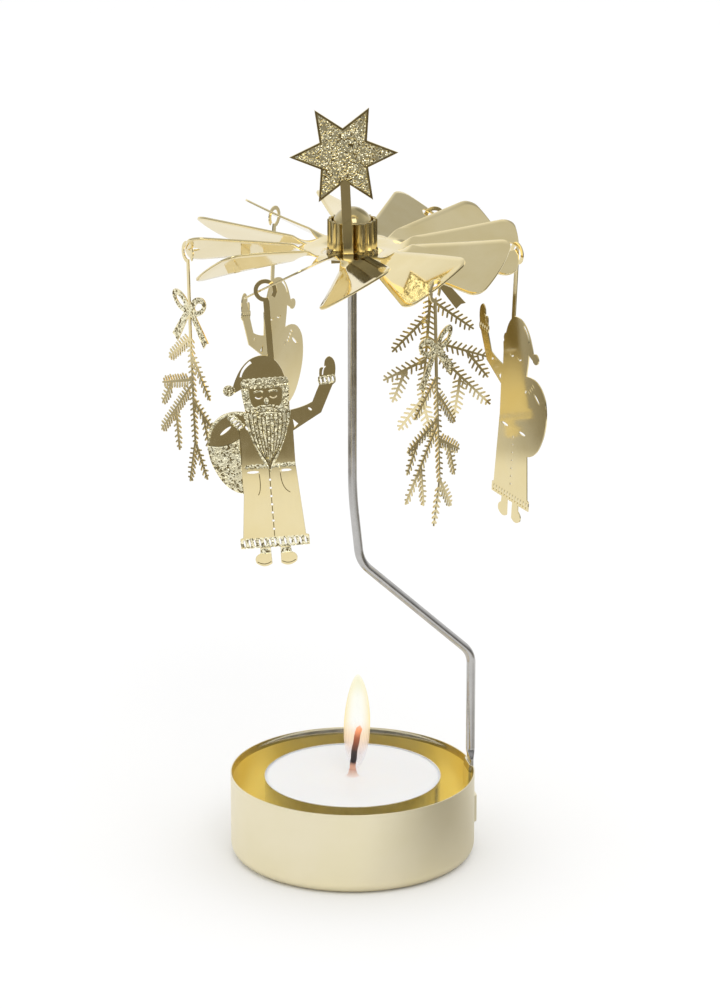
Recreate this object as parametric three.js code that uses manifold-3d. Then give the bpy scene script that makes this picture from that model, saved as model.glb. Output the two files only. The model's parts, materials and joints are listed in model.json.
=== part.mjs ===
// Rotating candle holder. A tray for one tealight carries a bent wire in a clip at its rim.
// A wheel of twisted vanes turns on the wire's point in the warm air of the flame and carries
// a star and six plates that swing on hooks. Millimetres, +Z up, origin under the tray's centre,
// +X towards the wire.

import * as THREE from 'three';
import { mergeVertices } from 'three/addons/utils/BufferGeometryUtils.js';
import Module from 'manifold-3d';

const wasm = await Module();
wasm.setup();

// Tray
const CUP_RADIUS = 26;
const CUP_HEIGHT = 18;
const CUP_SHEET = 0.5;
const CUP_CORNER = 2.5;
const CUP_FACETS = 48;

// Clip in the tray's wall: an upper band pressed in and a lower strap pressed out
const CLIP_FLAT = 4.4;
const CLIP_ROOT = 1;
const STRAP_BOTTOM = 5.1;
const STRAP_HEIGHT = 6;
const CLIP_SLIT = 0.3;
const CLIP_CLEARANCE = 0.06;
const WINDOW_OVERSHOOT = 1;

// Wire stand
const WIRE_RADIUS = 0.95;
const WIRE_SIDES = 12;
const LEAN_CORNER_Z = 80;
const UPPER_CORNER_X = 1.6;
const UPPER_CORNER_Z = 64.8;
const LOWER_CORNER_Z = 42.7;
const LEAN_RADIUS = 90;
const UPPER_BEND_RADIUS = 7;
const LOWER_BEND_RADIUS = 5;
const BEND_STEPS = 7;
const TONGUE_THICKNESS = 0.8;
const TONGUE_WIDTH = 3.2;
const TONGUE_CORNER = 0.8;
const TONGUE_ABOVE_RIM = 1.4;
const TONGUE_BLEND = 1.8;
const NEEDLE_LENGTH = 5;
const NEEDLE_SHOULDER = 0.06;
const NEEDLE_FLAT = 0.12;
const NEEDLE_LAP = 1;

// Tealight
const TEALIGHT_RADIUS = 18.7;
const TEALIGHT_HEIGHT = 16.6;
const TEALIGHT_SHEET = 0.3;
const TEALIGHT_CORNER = 1.6;
const TEALIGHT_LIP = 0.4;
const TEALIGHT_FACETS = 40;
const WAX_BELOW_RIM = 0.35;
const WICK_RADIUS = 0.65;
const WICK_SIDES = 8;
const WICK_ABOVE_WAX = 11.2;
const WICK_LEAN = 1.6;
const WICK_STRAIGHT = 0.45;
const WICK_STEPS = 6;
const SUSTAINER_RADIUS = 6;
const SUSTAINER_SHEET = 0.3;
const SUSTAINER_COLLAR = 3;
const WAX_CLEARANCE = 0.05;

// Seats where one piece rests on another
const SEAT_GAP = 0.02;

// Vane wheel
const WHEEL_Z = 133;
const WHEEL_SHEET = 0.4;
const WHEEL_RADIUS = 34.3;
const WHEEL_FACETS = 48;
const VANE_COUNT = 12;
const VANE_TWIST = THREE.MathUtils.degToRad(30);
const VANE_ROOT = 9.4;
const VANE_ROOT_LAP = 1;
const VANE_TWIST_LENGTH = 3.4;
const VANE_TWIST_STEPS = 2;
const VANE_SLIT = 0.3;
const VANE_CORNER = 2.6;
const ROTOR_REST_TURN = THREE.MathUtils.degToRad(-11);

// Hanging holes and hooks
const HOLE_RADIUS = 1.2;
const HOLE_EDGE = 0.55;
const HOLE_FACETS = 14;
const HOOK_BORE = 1.5;
const HOOK_BAND = 0.85;
const HOOK_INSET = 0.5;
const HOOK_DROP = 0.4;
const HOOK_START = THREE.MathUtils.degToRad(-72);
const HOOK_END = THREE.MathUtils.degToRad(-44);
const HOOK_CURVE_STEPS = 8;
const PLATE_TURN = THREE.MathUtils.degToRad(30);
const PLATE_SHEET = 0.35;
const PLATE_CURVE_STEPS = 4;

// Bearing thimble and fluted crown
const THIMBLE_RADIUS = 4.2;
const THIMBLE_SHEET = 0.4;
const THIMBLE_TOP = 8.5;
const THIMBLE_BEAD = 0.65;
const THIMBLE_BEAD_HEIGHT = 1.7;
const THIMBLE_FACETS = 24;
const BORE_CLEARANCE = 0.1;
const CROWN_HEIGHT = 6;
const CROWN_SHEET = 0.3;
const CROWN_FLUTES = 18;
const CROWN_FLUTE_DEPTH = 0.54;
const FLUTE_STEPS = 4;
const NEEDLE_GAP = 0.05;

// Star finial
const STAR_RADIUS = 11.1;
const STAR_NOTCH = 0.503;
const STAR_POINTS = 6;
const STAR_CENTRE = 20.75;
const STAR_SHEET = 0.4;
const STAR_LEAN = THREE.MathUtils.degToRad(2.5);
const STEM_WIDTH = 2;
const STEM_X = -0.9;
const STEM_CLEARANCE = 0.06;
const SLOT_CLEARANCE = 0.18;
const FOOT_DROP = 0.5;
const FOOT_HEIGHT = 1;
const FOOT_REACH = 2.6;

// Hanging figure
const FIGURE_HOOK_X = 1.7;
const FIGURE_TOP = -13.4;
const FIGURE_STEM_WIDTH = 1.24;
const FIGURE_STEM_LAP = 1.6;
const BUTTON_COUNT = 7;
const BUTTON_RADIUS = 0.26;
const BUTTON_PITCH = 1.75;

// Hanging sprig
const SPRIG_STEM_WIDTH = 0.95;
const SPRIG_TOP = -17;
const SPRIG_STEM_LAP = 2;
const TWIG_HALF_WIDTH = 0.36;
const TWIG_TAPER = 0.4;
// Main stem in two runs first, then each twig and fork from its root to its end
const TWIGS = [
  { root: [0, SPRIG_TOP], end: [0.6, -41] },
  { root: [0.6, -40.5], end: [-2.2, -49.4] },
  { root: [0.6, -40.2], end: [5.4, -47.4] },
  { root: [0, -18], end: [-9.6, -24.2] },
  { root: [0, -21.2], end: [7.6, -30] },
  { root: [0.2, -27], end: [-12.8, -30.2] },
  { root: [-8.2, -29], end: [-13.2, -34.8] },
  { root: [0.2, -28], end: [-14, -40.8] },
  { root: [-7.3, -34.6], end: [-6.4, -43.6] },
  { root: [0.3, -31.4], end: [9.2, -36.4] },
  { root: [4.4, -33.6], end: [7, -41.2] },
];
const NEEDLE_PITCH = 2.8;
const NEEDLE_OUT = 1.15;
const NEEDLE_FORWARD = 0.95;
const NEEDLE_ROOT = 0.55;
const BOW_Z = -12.4;
const LOOP_OUT = 3.5;
const LOOP_UP = 1.5;
const LOOP_LENGTH = 7.4;
const LOOP_WIDTH = 3.8;
const LOOP_TILT = THREE.MathUtils.degToRad(22);
const EYE_OUT = 3.9;
const EYE_LENGTH = 3.7;
const EYE_WIDTH = 1.5;
const TAIL_OUT = 5.6;
const TAIL_WIDTH = 2;
const TAIL_NOTCH = 1.1;
const TAIL_CLEFT = 0.5;
const TAIL_RISE = 1.4;
const LEFT_TAIL = 7.5;
const RIGHT_TAIL = 6.9;

const GOLD = { color: 0xd6c487, roughness: 0.22, metalness: 1 };
const STEEL = { color: 0xb9b9bb, roughness: 0.25, metalness: 1 };
const ALUMINIUM = { color: 0xc9cacc, roughness: 0.35, metalness: 1 };
const WAX = { color: 0xf4f2ec, roughness: 0.5, metalness: 0 };
const COTTON = { color: 0x2a2320, roughness: 0.9, metalness: 0 };

const HOLE_CENTRE = WHEEL_RADIUS - HOLE_EDGE - HOLE_RADIUS;
const HOOK_OUTSET = HOLE_RADIUS - HOOK_INSET;
const WALL_MID = CUP_RADIUS - CUP_SHEET / 2;
const WHEEL_TOP = WHEEL_Z + WHEEL_SHEET / 2;
const WHEEL_UNDER = WHEEL_Z - WHEEL_SHEET / 2;
const VANE_SECTOR = Math.PI / VANE_COUNT;

// Boolean helpers

function solid(geometry) {
  const bare = geometry.clone();
  bare.deleteAttribute('normal');
  bare.deleteAttribute('uv');
  const welded = mergeVertices(bare);
  const index = welded.index.array;
  const triangles = [];
  for (let i = 0; i < index.length; i += 3) {
    const corners = index.slice(i, i + 3);
    if (new Set(corners).size === 3) triangles.push(...corners);
  }
  return new wasm.Manifold(new wasm.Mesh({
    numProp: 3,
    vertProperties: new Float32Array(welded.attributes.position.array),
    triVerts: new Uint32Array(triangles),
  }));
}

function shell(manifold) {
  const { vertProperties, triVerts } = manifold.getMesh();
  const geometry = new THREE.BufferGeometry();
  geometry.setAttribute('position', new THREE.BufferAttribute(vertProperties, 3));
  geometry.setIndex(new THREE.BufferAttribute(triVerts, 1));
  geometry.computeVertexNormals();
  return geometry;
}

function join(geometries) {
  return geometries.map(solid).reduce((whole, piece) => whole.add(piece));
}

// Shape helpers

function turned(points, facets) {
  return new THREE.LatheGeometry(points, facets).rotateX(Math.PI / 2);
}

function profile(coordinates) {
  return coordinates.map(([r, z]) => new THREE.Vector2(r, z));
}

// A flat plate drawn in X and Z, centred on the XZ plane.
function plate(shape, thickness, curveSegments = PLATE_CURVE_STEPS) {
  const options = { depth: thickness, bevelEnabled: false, curveSegments };
  const geometry = new THREE.ExtrudeGeometry(shape, options);
  return geometry.rotateX(Math.PI / 2).translate(0, thickness / 2, 0);
}

// A line of points with each inner corner rounded to an arc.
function roundedLine(corners, radii) {
  const points = [corners[0]];
  for (let i = 1; i < corners.length - 1; i += 1) {
    const inward = corners[i - 1].clone().sub(corners[i]).normalize();
    const outward = corners[i + 1].clone().sub(corners[i]).normalize();
    const half = inward.angleTo(outward) / 2;
    const bisector = inward.clone().add(outward).normalize();
    const centre = corners[i].clone().addScaledVector(bisector, radii[i - 1] / Math.sin(half));
    const axis = outward.clone().cross(inward).normalize();
    const sweep = Math.PI - 2 * half;
    const start = corners[i].clone().addScaledVector(inward, radii[i - 1] / Math.tan(half));
    const arm = start.sub(centre);
    for (let k = 0; k <= BEND_STEPS; k += 1) {
      const turnedArm = arm.clone().applyAxisAngle(axis, (sweep * k) / BEND_STEPS);
      points.push(centre.clone().add(turnedArm));
    }
  }
  points.push(corners[corners.length - 1]);
  return points;
}

// A curve that visits the points of a line one by one, so bends keep their own points.
class PointLine extends THREE.Curve {
  constructor(points) {
    super();
    this.points = points;
  }

  getPoint(t, target = new THREE.Vector3()) {
    const last = this.points.length - 1;
    const place = THREE.MathUtils.clamp(t * last, 0, last);
    const before = Math.min(Math.floor(place + 1e-9), last - 1);
    return target.lerpVectors(this.points[before], this.points[before + 1], place - before);
  }

  getPointAt(t, target) {
    return this.getPoint(t, target);
  }

  getTangentAt(t, target = new THREE.Vector3()) {
    const step = 0.5 / (this.points.length - 1);
    const ahead = this.getPoint(Math.min(t + step, 1));
    return target.copy(ahead).sub(this.getPoint(Math.max(t - step, 0))).normalize();
  }
}

function roundBar(points, radius, sides) {
  const section = new THREE.Shape();
  for (let i = 0; i < sides; i += 1) {
    const angle = (2 * Math.PI * i) / sides;
    const corner = [radius * Math.cos(angle), radius * Math.sin(angle)];
    if (i === 0) section.moveTo(...corner);
    else section.lineTo(...corner);
  }
  const options = { steps: points.length - 1, extrudePath: new PointLine(points) };
  return new THREE.ExtrudeGeometry(section, options);
}

// A closed skin of quads between rings of points, each ring joined to the next.
function skinBetween(rings, closeRings) {
  const count = rings.length;
  const around = rings[0].length;
  const index = [];
  const last = closeRings ? count : count - 1;
  for (let i = 0; i < last; i += 1) {
    for (let j = 0; j < around; j += 1) {
      const a = i * around + j;
      const b = ((i + 1) % count) * around + j;
      const c = ((i + 1) % count) * around + ((j + 1) % around);
      const d = i * around + ((j + 1) % around);
      index.push(a, b, c, a, c, d);
    }
  }
  const geometry = new THREE.BufferGeometry();
  geometry.setFromPoints(rings.flat());
  geometry.setIndex(index);
  geometry.computeVertexNormals();
  return geometry;
}

function mesh(name, geometry, look) {
  const part = new THREE.Mesh(geometry, new THREE.MeshStandardMaterial(look));
  part.name = name;
  return part;
}

// Tray with its clip

// The wall's middle one facet away from the clip's centre, where the bands leave the wall.
function clipEdge() {
  const facet = (2 * Math.PI) / CUP_FACETS;
  return new THREE.Vector2(Math.cos(facet), Math.sin(facet)).multiplyScalar(WALL_MID);
}

function clipBand(offset, bottom, top) {
  const slope = (3 * Math.PI) / CUP_FACETS;
  const along = new THREE.Vector2(-Math.sin(slope), Math.cos(slope));
  const edge = clipEdge();
  const root = edge.clone().addScaledVector(along, CLIP_ROOT);
  const flat = new THREE.Vector2(WALL_MID + offset, CLIP_FLAT / 2);
  const side = [root, edge, flat];
  const line = [...side, ...side.map((p) => new THREE.Vector2(p.x, -p.y)).reverse()];
  const shifted = (dx) => line.map((p) => new THREE.Vector2(p.x + dx, p.y));
  const shape = new THREE.Shape([...shifted(CUP_SHEET / 2), ...shifted(-CUP_SHEET / 2).reverse()]);
  const band = new THREE.ExtrudeGeometry(shape, { depth: top - bottom, bevelEnabled: false });
  return band.translate(0, 0, bottom);
}

function cup() {
  const outline = new THREE.Path();
  outline.moveTo(0, 0);
  outline.lineTo(CUP_RADIUS - CUP_CORNER, 0);
  outline.absarc(CUP_RADIUS - CUP_CORNER, CUP_CORNER, CUP_CORNER, -Math.PI / 2, 0, false);
  outline.lineTo(CUP_RADIUS, CUP_HEIGHT);
  outline.lineTo(CUP_RADIUS - CUP_SHEET, CUP_HEIGHT);
  outline.lineTo(CUP_RADIUS - CUP_SHEET, CUP_CORNER);
  const inside = CUP_CORNER - CUP_SHEET;
  outline.absarc(CUP_RADIUS - CUP_CORNER, CUP_CORNER, inside, 0, -Math.PI / 2, true);
  outline.lineTo(0, CUP_SHEET);
  const tray = solid(turned(outline.getPoints(2), CUP_FACETS).rotateZ(Math.PI / 2));
  const strapTop = STRAP_BOTTOM + STRAP_HEIGHT;
  const windowBottom = STRAP_BOTTOM - CLIP_SLIT;
  const windowHeight = CUP_HEIGHT - windowBottom + WINDOW_OVERSHOOT;
  const opening = new THREE.BoxGeometry(4 * CUP_SHEET, 2 * clipEdge().y, windowHeight);
  opening.translate(WALL_MID, 0, windowBottom + windowHeight / 2);
  const offset = TONGUE_THICKNESS / 2 + CLIP_CLEARANCE + CUP_SHEET / 2;
  const strap = clipBand(offset, STRAP_BOTTOM, strapTop);
  const innerBand = clipBand(-offset, strapTop + CLIP_SLIT, CUP_HEIGHT);
  return shell(tray.subtract(solid(opening)).add(solid(strap)).add(solid(innerBand)));
}

// Wire with a needle point at the top and a flat tongue at the foot

function wireStand() {
  const needleTip = WHEEL_TOP + THIMBLE_TOP - THIMBLE_SHEET - NEEDLE_GAP;
  const shoulder = needleTip - NEEDLE_LENGTH;
  const tongueTop = CUP_HEIGHT + TONGUE_ABOVE_RIM;
  const corners = [
    new THREE.Vector3(0, 0, shoulder),
    new THREE.Vector3(0, 0, LEAN_CORNER_Z),
    new THREE.Vector3(UPPER_CORNER_X, 0, UPPER_CORNER_Z),
    new THREE.Vector3(WALL_MID, 0, LOWER_CORNER_Z),
    new THREE.Vector3(WALL_MID, 0, tongueTop),
  ];
  const path = roundedLine(corners, [LEAN_RADIUS, UPPER_BEND_RADIUS, LOWER_BEND_RADIUS]);
  const bar = roundBar(path, WIRE_RADIUS, WIRE_SIDES);
  const needle = turned(profile([
    [0, shoulder - NEEDLE_LAP],
    [WIRE_RADIUS - NEEDLE_SHOULDER, shoulder - NEEDLE_LAP],
    [WIRE_RADIUS - NEEDLE_SHOULDER, shoulder + NEEDLE_SHOULDER],
    [NEEDLE_FLAT, needleTip - NEEDLE_FLAT],
    [0, needleTip],
  ]), WIRE_SIDES);
  const half = TONGUE_WIDTH / 2;
  const foot = STRAP_BOTTOM;
  const outline = new THREE.Shape();
  outline.moveTo(-WIRE_RADIUS / 2, tongueTop + TONGUE_BLEND);
  outline.lineTo(-half, tongueTop - TONGUE_BLEND / 2);
  outline.lineTo(-half, foot + TONGUE_CORNER);
  outline.quadraticCurveTo(-half, foot, -half + TONGUE_CORNER, foot);
  outline.lineTo(half - TONGUE_CORNER, foot);
  outline.quadraticCurveTo(half, foot, half, foot + TONGUE_CORNER);
  outline.lineTo(half, tongueTop - TONGUE_BLEND / 2);
  outline.lineTo(WIRE_RADIUS / 2, tongueTop + TONGUE_BLEND);
  const tongue = plate(outline, TONGUE_THICKNESS).rotateZ(Math.PI / 2).translate(WALL_MID, 0, 0);
  return shell(join([bar, needle, tongue]));
}

// Tealight

const SHELL_FLOOR = CUP_SHEET + SEAT_GAP;
const SHELL_RIM = SHELL_FLOOR + TEALIGHT_HEIGHT;
const WAX_FLOOR = SHELL_FLOOR + TEALIGHT_SHEET + SEAT_GAP;
const WAX_TOP = SHELL_RIM - WAX_BELOW_RIM;

function tealightCup() {
  const inner = TEALIGHT_RADIUS - TEALIGHT_SHEET;
  const corner = TEALIGHT_CORNER;
  const outline = new THREE.Path();
  outline.moveTo(0, SHELL_FLOOR);
  outline.lineTo(TEALIGHT_RADIUS - corner, SHELL_FLOOR);
  outline.absarc(TEALIGHT_RADIUS - corner, SHELL_FLOOR + corner, corner, -Math.PI / 2, 0, false);
  outline.lineTo(TEALIGHT_RADIUS, SHELL_RIM - 2 * TEALIGHT_LIP);
  outline.lineTo(TEALIGHT_RADIUS + TEALIGHT_LIP, SHELL_RIM - TEALIGHT_LIP);
  outline.lineTo(TEALIGHT_RADIUS + TEALIGHT_LIP, SHELL_RIM);
  outline.lineTo(inner, SHELL_RIM);
  outline.lineTo(inner, SHELL_FLOOR + corner);
  const inside = corner - TEALIGHT_SHEET;
  outline.absarc(TEALIGHT_RADIUS - corner, SHELL_FLOOR + corner, inside, 0, -Math.PI / 2, true);
  outline.lineTo(0, SHELL_FLOOR + TEALIGHT_SHEET);
  return turned(outline.getPoints(1), TEALIGHT_FACETS);
}

function tealightWax() {
  const radius = TEALIGHT_RADIUS - TEALIGHT_SHEET - WAX_CLEARANCE;
  const bore = WICK_RADIUS + WAX_CLEARANCE;
  const recess = SUSTAINER_RADIUS + WAX_CLEARANCE;
  const recessTop = WAX_FLOOR + SUSTAINER_SHEET + WAX_CLEARANCE;
  const collar = WICK_RADIUS + SUSTAINER_SHEET + 2 * WAX_CLEARANCE;
  const collarTop = WAX_FLOOR + SUSTAINER_COLLAR + WAX_CLEARANCE;
  const chamfer = TEALIGHT_CORNER;
  return turned(profile([
    [recess, WAX_FLOOR],
    [radius - chamfer, WAX_FLOOR],
    [radius, WAX_FLOOR + chamfer],
    [radius, WAX_TOP],
    [bore, WAX_TOP],
    [bore, collarTop],
    [collar, collarTop],
    [collar, recessTop],
    [recess, recessTop],
    [recess, WAX_FLOOR],
  ]), TEALIGHT_FACETS);
}

function wickSustainer() {
  const bore = WICK_RADIUS + WAX_CLEARANCE;
  const collar = bore + SUSTAINER_SHEET;
  return turned(profile([
    [bore, WAX_FLOOR],
    [SUSTAINER_RADIUS, WAX_FLOOR],
    [SUSTAINER_RADIUS, WAX_FLOOR + SUSTAINER_SHEET],
    [collar, WAX_FLOOR + SUSTAINER_SHEET],
    [collar, WAX_FLOOR + SUSTAINER_COLLAR],
    [bore, WAX_FLOOR + SUSTAINER_COLLAR],
    [bore, WAX_FLOOR],
  ]), TEALIGHT_FACETS / 2);
}

function wick() {
  const free = new THREE.QuadraticBezierCurve3(
    new THREE.Vector3(0, 0, WAX_TOP),
    new THREE.Vector3(0, 0, WAX_TOP + WICK_ABOVE_WAX * WICK_STRAIGHT),
    new THREE.Vector3(WICK_LEAN, 0, WAX_TOP + WICK_ABOVE_WAX),
  );
  const points = [new THREE.Vector3(0, 0, WAX_FLOOR), ...free.getPoints(WICK_STEPS)];
  return roundBar(points, WICK_RADIUS, WICK_SIDES);
}

// Vane wheel

function tipOutline() {
  const slit = VANE_SLIT / 2;
  const middle = WHEEL_RADIUS - VANE_CORNER;
  const cornerAngle = VANE_SECTOR - Math.asin((VANE_CORNER + slit) / middle);
  const arc = [-0.5, 0, 0.5].map((s) => s * 2 * cornerAngle);
  const corner = [0, 1, 2].map((k) => {
    const angle = cornerAngle + ((VANE_SECTOR + Math.PI / 2 - cornerAngle) * (k + 1)) / 3;
    return new THREE.Vector2(
      middle * Math.cos(cornerAngle) + VANE_CORNER * Math.cos(angle),
      middle * Math.sin(cornerAngle) + VANE_CORNER * Math.sin(angle),
    );
  });
  const mirrored = corner.map((p) => new THREE.Vector2(p.x, -p.y)).reverse();
  const tip = arc.map((a) => new THREE.Vector2(Math.cos(a), Math.sin(a)).multiplyScalar(WHEEL_RADIUS));
  return [...mirrored, ...tip, ...corner];
}

// One vane along +X: flat at its root, then turned about its own midline.
function vane() {
  const tip = tipOutline();
  const columns = tip.length - 1;
  const rowAt = (radius, share) => {
    const half = radius * Math.tan(VANE_SECTOR) - VANE_SLIT / 2;
    const across = (j) => half * ((2 * j) / columns - 1);
    return { share, points: tip.map((_, j) => new THREE.Vector2(radius, across(j))) };
  };
  const rows = [rowAt(VANE_ROOT - VANE_ROOT_LAP, 0)];
  for (let i = 0; i <= VANE_TWIST_STEPS; i += 1) {
    const step = i / VANE_TWIST_STEPS;
    rows.push(rowAt(VANE_ROOT + VANE_TWIST_LENGTH * step, THREE.MathUtils.smoothstep(step, 0, 1)));
  }
  rows.push({ share: 1, points: tip });
  const rings = rows.map(({ share, points }) => {
    const twist = VANE_TWIST * share;
    const lift = new THREE.Vector3(0, -Math.sin(twist), Math.cos(twist)).multiplyScalar(WHEEL_SHEET / 2);
    const middle = points.map(({ x, y }) => new THREE.Vector3(x, y * Math.cos(twist), y * Math.sin(twist)));
    const upper = middle.map((p) => p.clone().add(lift));
    const lower = middle.map((p) => p.clone().sub(lift)).reverse();
    return [...upper, ...lower];
  });
  const skin = skinBetween(rings, false);
  const around = rings[0].length;
  const index = [...skin.index.array];
  const end = (rings.length - 1) * around;
  for (let j = 0; j < columns; j += 1) {
    const under = around - 1 - j;
    index.push(j, j + 1, under, j + 1, under - 1, under);
    index.push(end + j, end + under, end + j + 1, end + j + 1, end + under, end + under - 1);
  }
  skin.setIndex(index);
  return skin;
}

function vaneWheel() {
  const bore = THIMBLE_RADIUS + BORE_CLEARANCE;
  const ring = turned(profile([
    [bore, -WHEEL_SHEET / 2],
    [VANE_ROOT, -WHEEL_SHEET / 2],
    [VANE_ROOT, WHEEL_SHEET / 2],
    [bore, WHEEL_SHEET / 2],
    [bore, -WHEEL_SHEET / 2],
  ]), WHEEL_FACETS);
  const blade = vane();
  const punch = new THREE.CylinderGeometry(HOLE_RADIUS, HOLE_RADIUS, 6 * WHEEL_SHEET, HOLE_FACETS);
  punch.rotateX(Math.PI / 2 + VANE_TWIST).translate(HOLE_CENTRE, 0, 0);
  const pierced = shell(solid(blade).subtract(solid(punch)));
  const slot = new THREE.BoxGeometry(
    STEM_WIDTH + 2 * SLOT_CLEARANCE,
    STAR_SHEET + 2 * SLOT_CLEARANCE,
    4 * WHEEL_SHEET,
  );
  slot.translate(STEM_X, -STAR_PLANE, 0);
  let wheel = solid(ring).subtract(solid(slot));
  for (let i = 0; i < VANE_COUNT; i += 1) {
    const source = i % 2 === 0 ? pierced : blade;
    wheel = wheel.add(solid(source.clone().rotateZ(2 * VANE_SECTOR * i)));
  }
  return shell(wheel).translate(0, 0, WHEEL_Z);
}

// Hub

function bearingThimble() {
  const inner = THIMBLE_RADIUS - THIMBLE_SHEET;
  const beadRadius = THIMBLE_RADIUS + THIMBLE_BEAD;
  const top = WHEEL_TOP + THIMBLE_TOP;
  const spring = top - THIMBLE_RADIUS;
  const beadTop = WHEEL_UNDER - SEAT_GAP;
  const foot = beadTop - THIMBLE_BEAD_HEIGHT;
  const round = THIMBLE_BEAD_HEIGHT / 2;
  const outline = new THREE.Path();
  outline.moveTo(0, spring + inner);
  outline.absarc(0, spring, inner, Math.PI / 2, 0, true);
  outline.lineTo(inner, foot);
  outline.lineTo(beadRadius - round, foot);
  outline.absarc(beadRadius - round, foot + round, round, -Math.PI / 2, Math.PI / 2, false);
  outline.lineTo(THIMBLE_RADIUS, beadTop);
  outline.lineTo(THIMBLE_RADIUS, spring);
  outline.absarc(0, spring, THIMBLE_RADIUS, 0, Math.PI / 2, false);
  return turned(outline.getPoints(2), THIMBLE_FACETS);
}

const CROWN_MIDDLE = THIMBLE_RADIUS + BORE_CLEARANCE + (CROWN_SHEET + CROWN_FLUTE_DEPTH) / 2;
const STAR_PLANE = CROWN_MIDDLE + (CROWN_FLUTE_DEPTH + CROWN_SHEET + STAR_SHEET) / 2 + STEM_CLEARANCE;

function hubCrown() {
  const bottom = WHEEL_TOP + SEAT_GAP;
  const top = bottom + CROWN_HEIGHT;
  const count = CROWN_FLUTES * FLUTE_STEPS;
  const rings = [];
  for (let i = 0; i < count; i += 1) {
    const angle = (2 * Math.PI * i) / count;
    const middle = CROWN_MIDDLE + (CROWN_FLUTE_DEPTH / 2) * Math.cos(CROWN_FLUTES * angle);
    const outside = middle + CROWN_SHEET / 2;
    const inside = middle - CROWN_SHEET / 2;
    const section = [[outside, bottom], [outside, top], [inside, top], [inside, bottom]];
    rings.push(section.map(([r, z]) => new THREE.Vector3(r * Math.cos(angle), r * Math.sin(angle), z)));
  }
  return skinBetween(rings, true);
}

function starFinial() {
  const half = STEM_WIDTH / 2;
  const slotTop = -WHEEL_SHEET;
  const hookTop = slotTop - FOOT_DROP;
  const hookFoot = hookTop - FOOT_HEIGHT;
  const notch = STAR_RADIUS * STAR_NOTCH;
  const tip = new THREE.Vector2(Math.cos(Math.PI / 3), Math.sin(Math.PI / 3)).multiplyScalar(STAR_RADIUS);
  const stemTop = STAR_CENTRE - notch - (half * (tip.y - notch)) / tip.x;
  const outline = new THREE.Shape();
  outline.moveTo(half, hookFoot);
  outline.lineTo(half, stemTop);
  for (let i = 0; i < 2 * STAR_POINTS - 1; i += 1) {
    const angle = -Math.PI / 3 + (Math.PI * i) / STAR_POINTS;
    const radius = i % 2 === 0 ? STAR_RADIUS : notch;
    outline.lineTo(radius * Math.cos(angle), STAR_CENTRE + radius * Math.sin(angle));
  }
  outline.lineTo(-half, stemTop);
  outline.lineTo(-half, hookTop);
  outline.lineTo(-half - FOOT_REACH, hookTop);
  outline.lineTo(-half - FOOT_REACH, hookFoot);
  const star = plate(outline, STAR_SHEET).rotateY(-STAR_LEAN);
  return star.translate(STEM_X, -STAR_PLANE, WHEEL_TOP);
}

// Hanging plates

// Hook and stem, seen from the front: an open ring round the origin on a straight stem.
function hookShape(stemWidth, stemEnd) {
  const half = stemWidth / 2;
  const outer = HOOK_BORE + HOOK_BAND;
  const outline = new THREE.Shape();
  outline.moveTo(half, stemEnd);
  outline.lineTo(half, -outer);
  outline.absarc(0, 0, HOOK_BORE, HOOK_START, HOOK_END - 2 * Math.PI, true);
  outline.absarc(0, 0, outer, HOOK_END, 1.5 * Math.PI - Math.asin(half / outer), false);
  outline.lineTo(-half, stemEnd);
  return outline;
}

function roundSlot(x, z, length, width, tilt) {
  const hole = new THREE.Path();
  hole.absellipse(x, z, length / 2, width / 2, 0, 2 * Math.PI, true, tilt);
  return hole;
}

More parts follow.
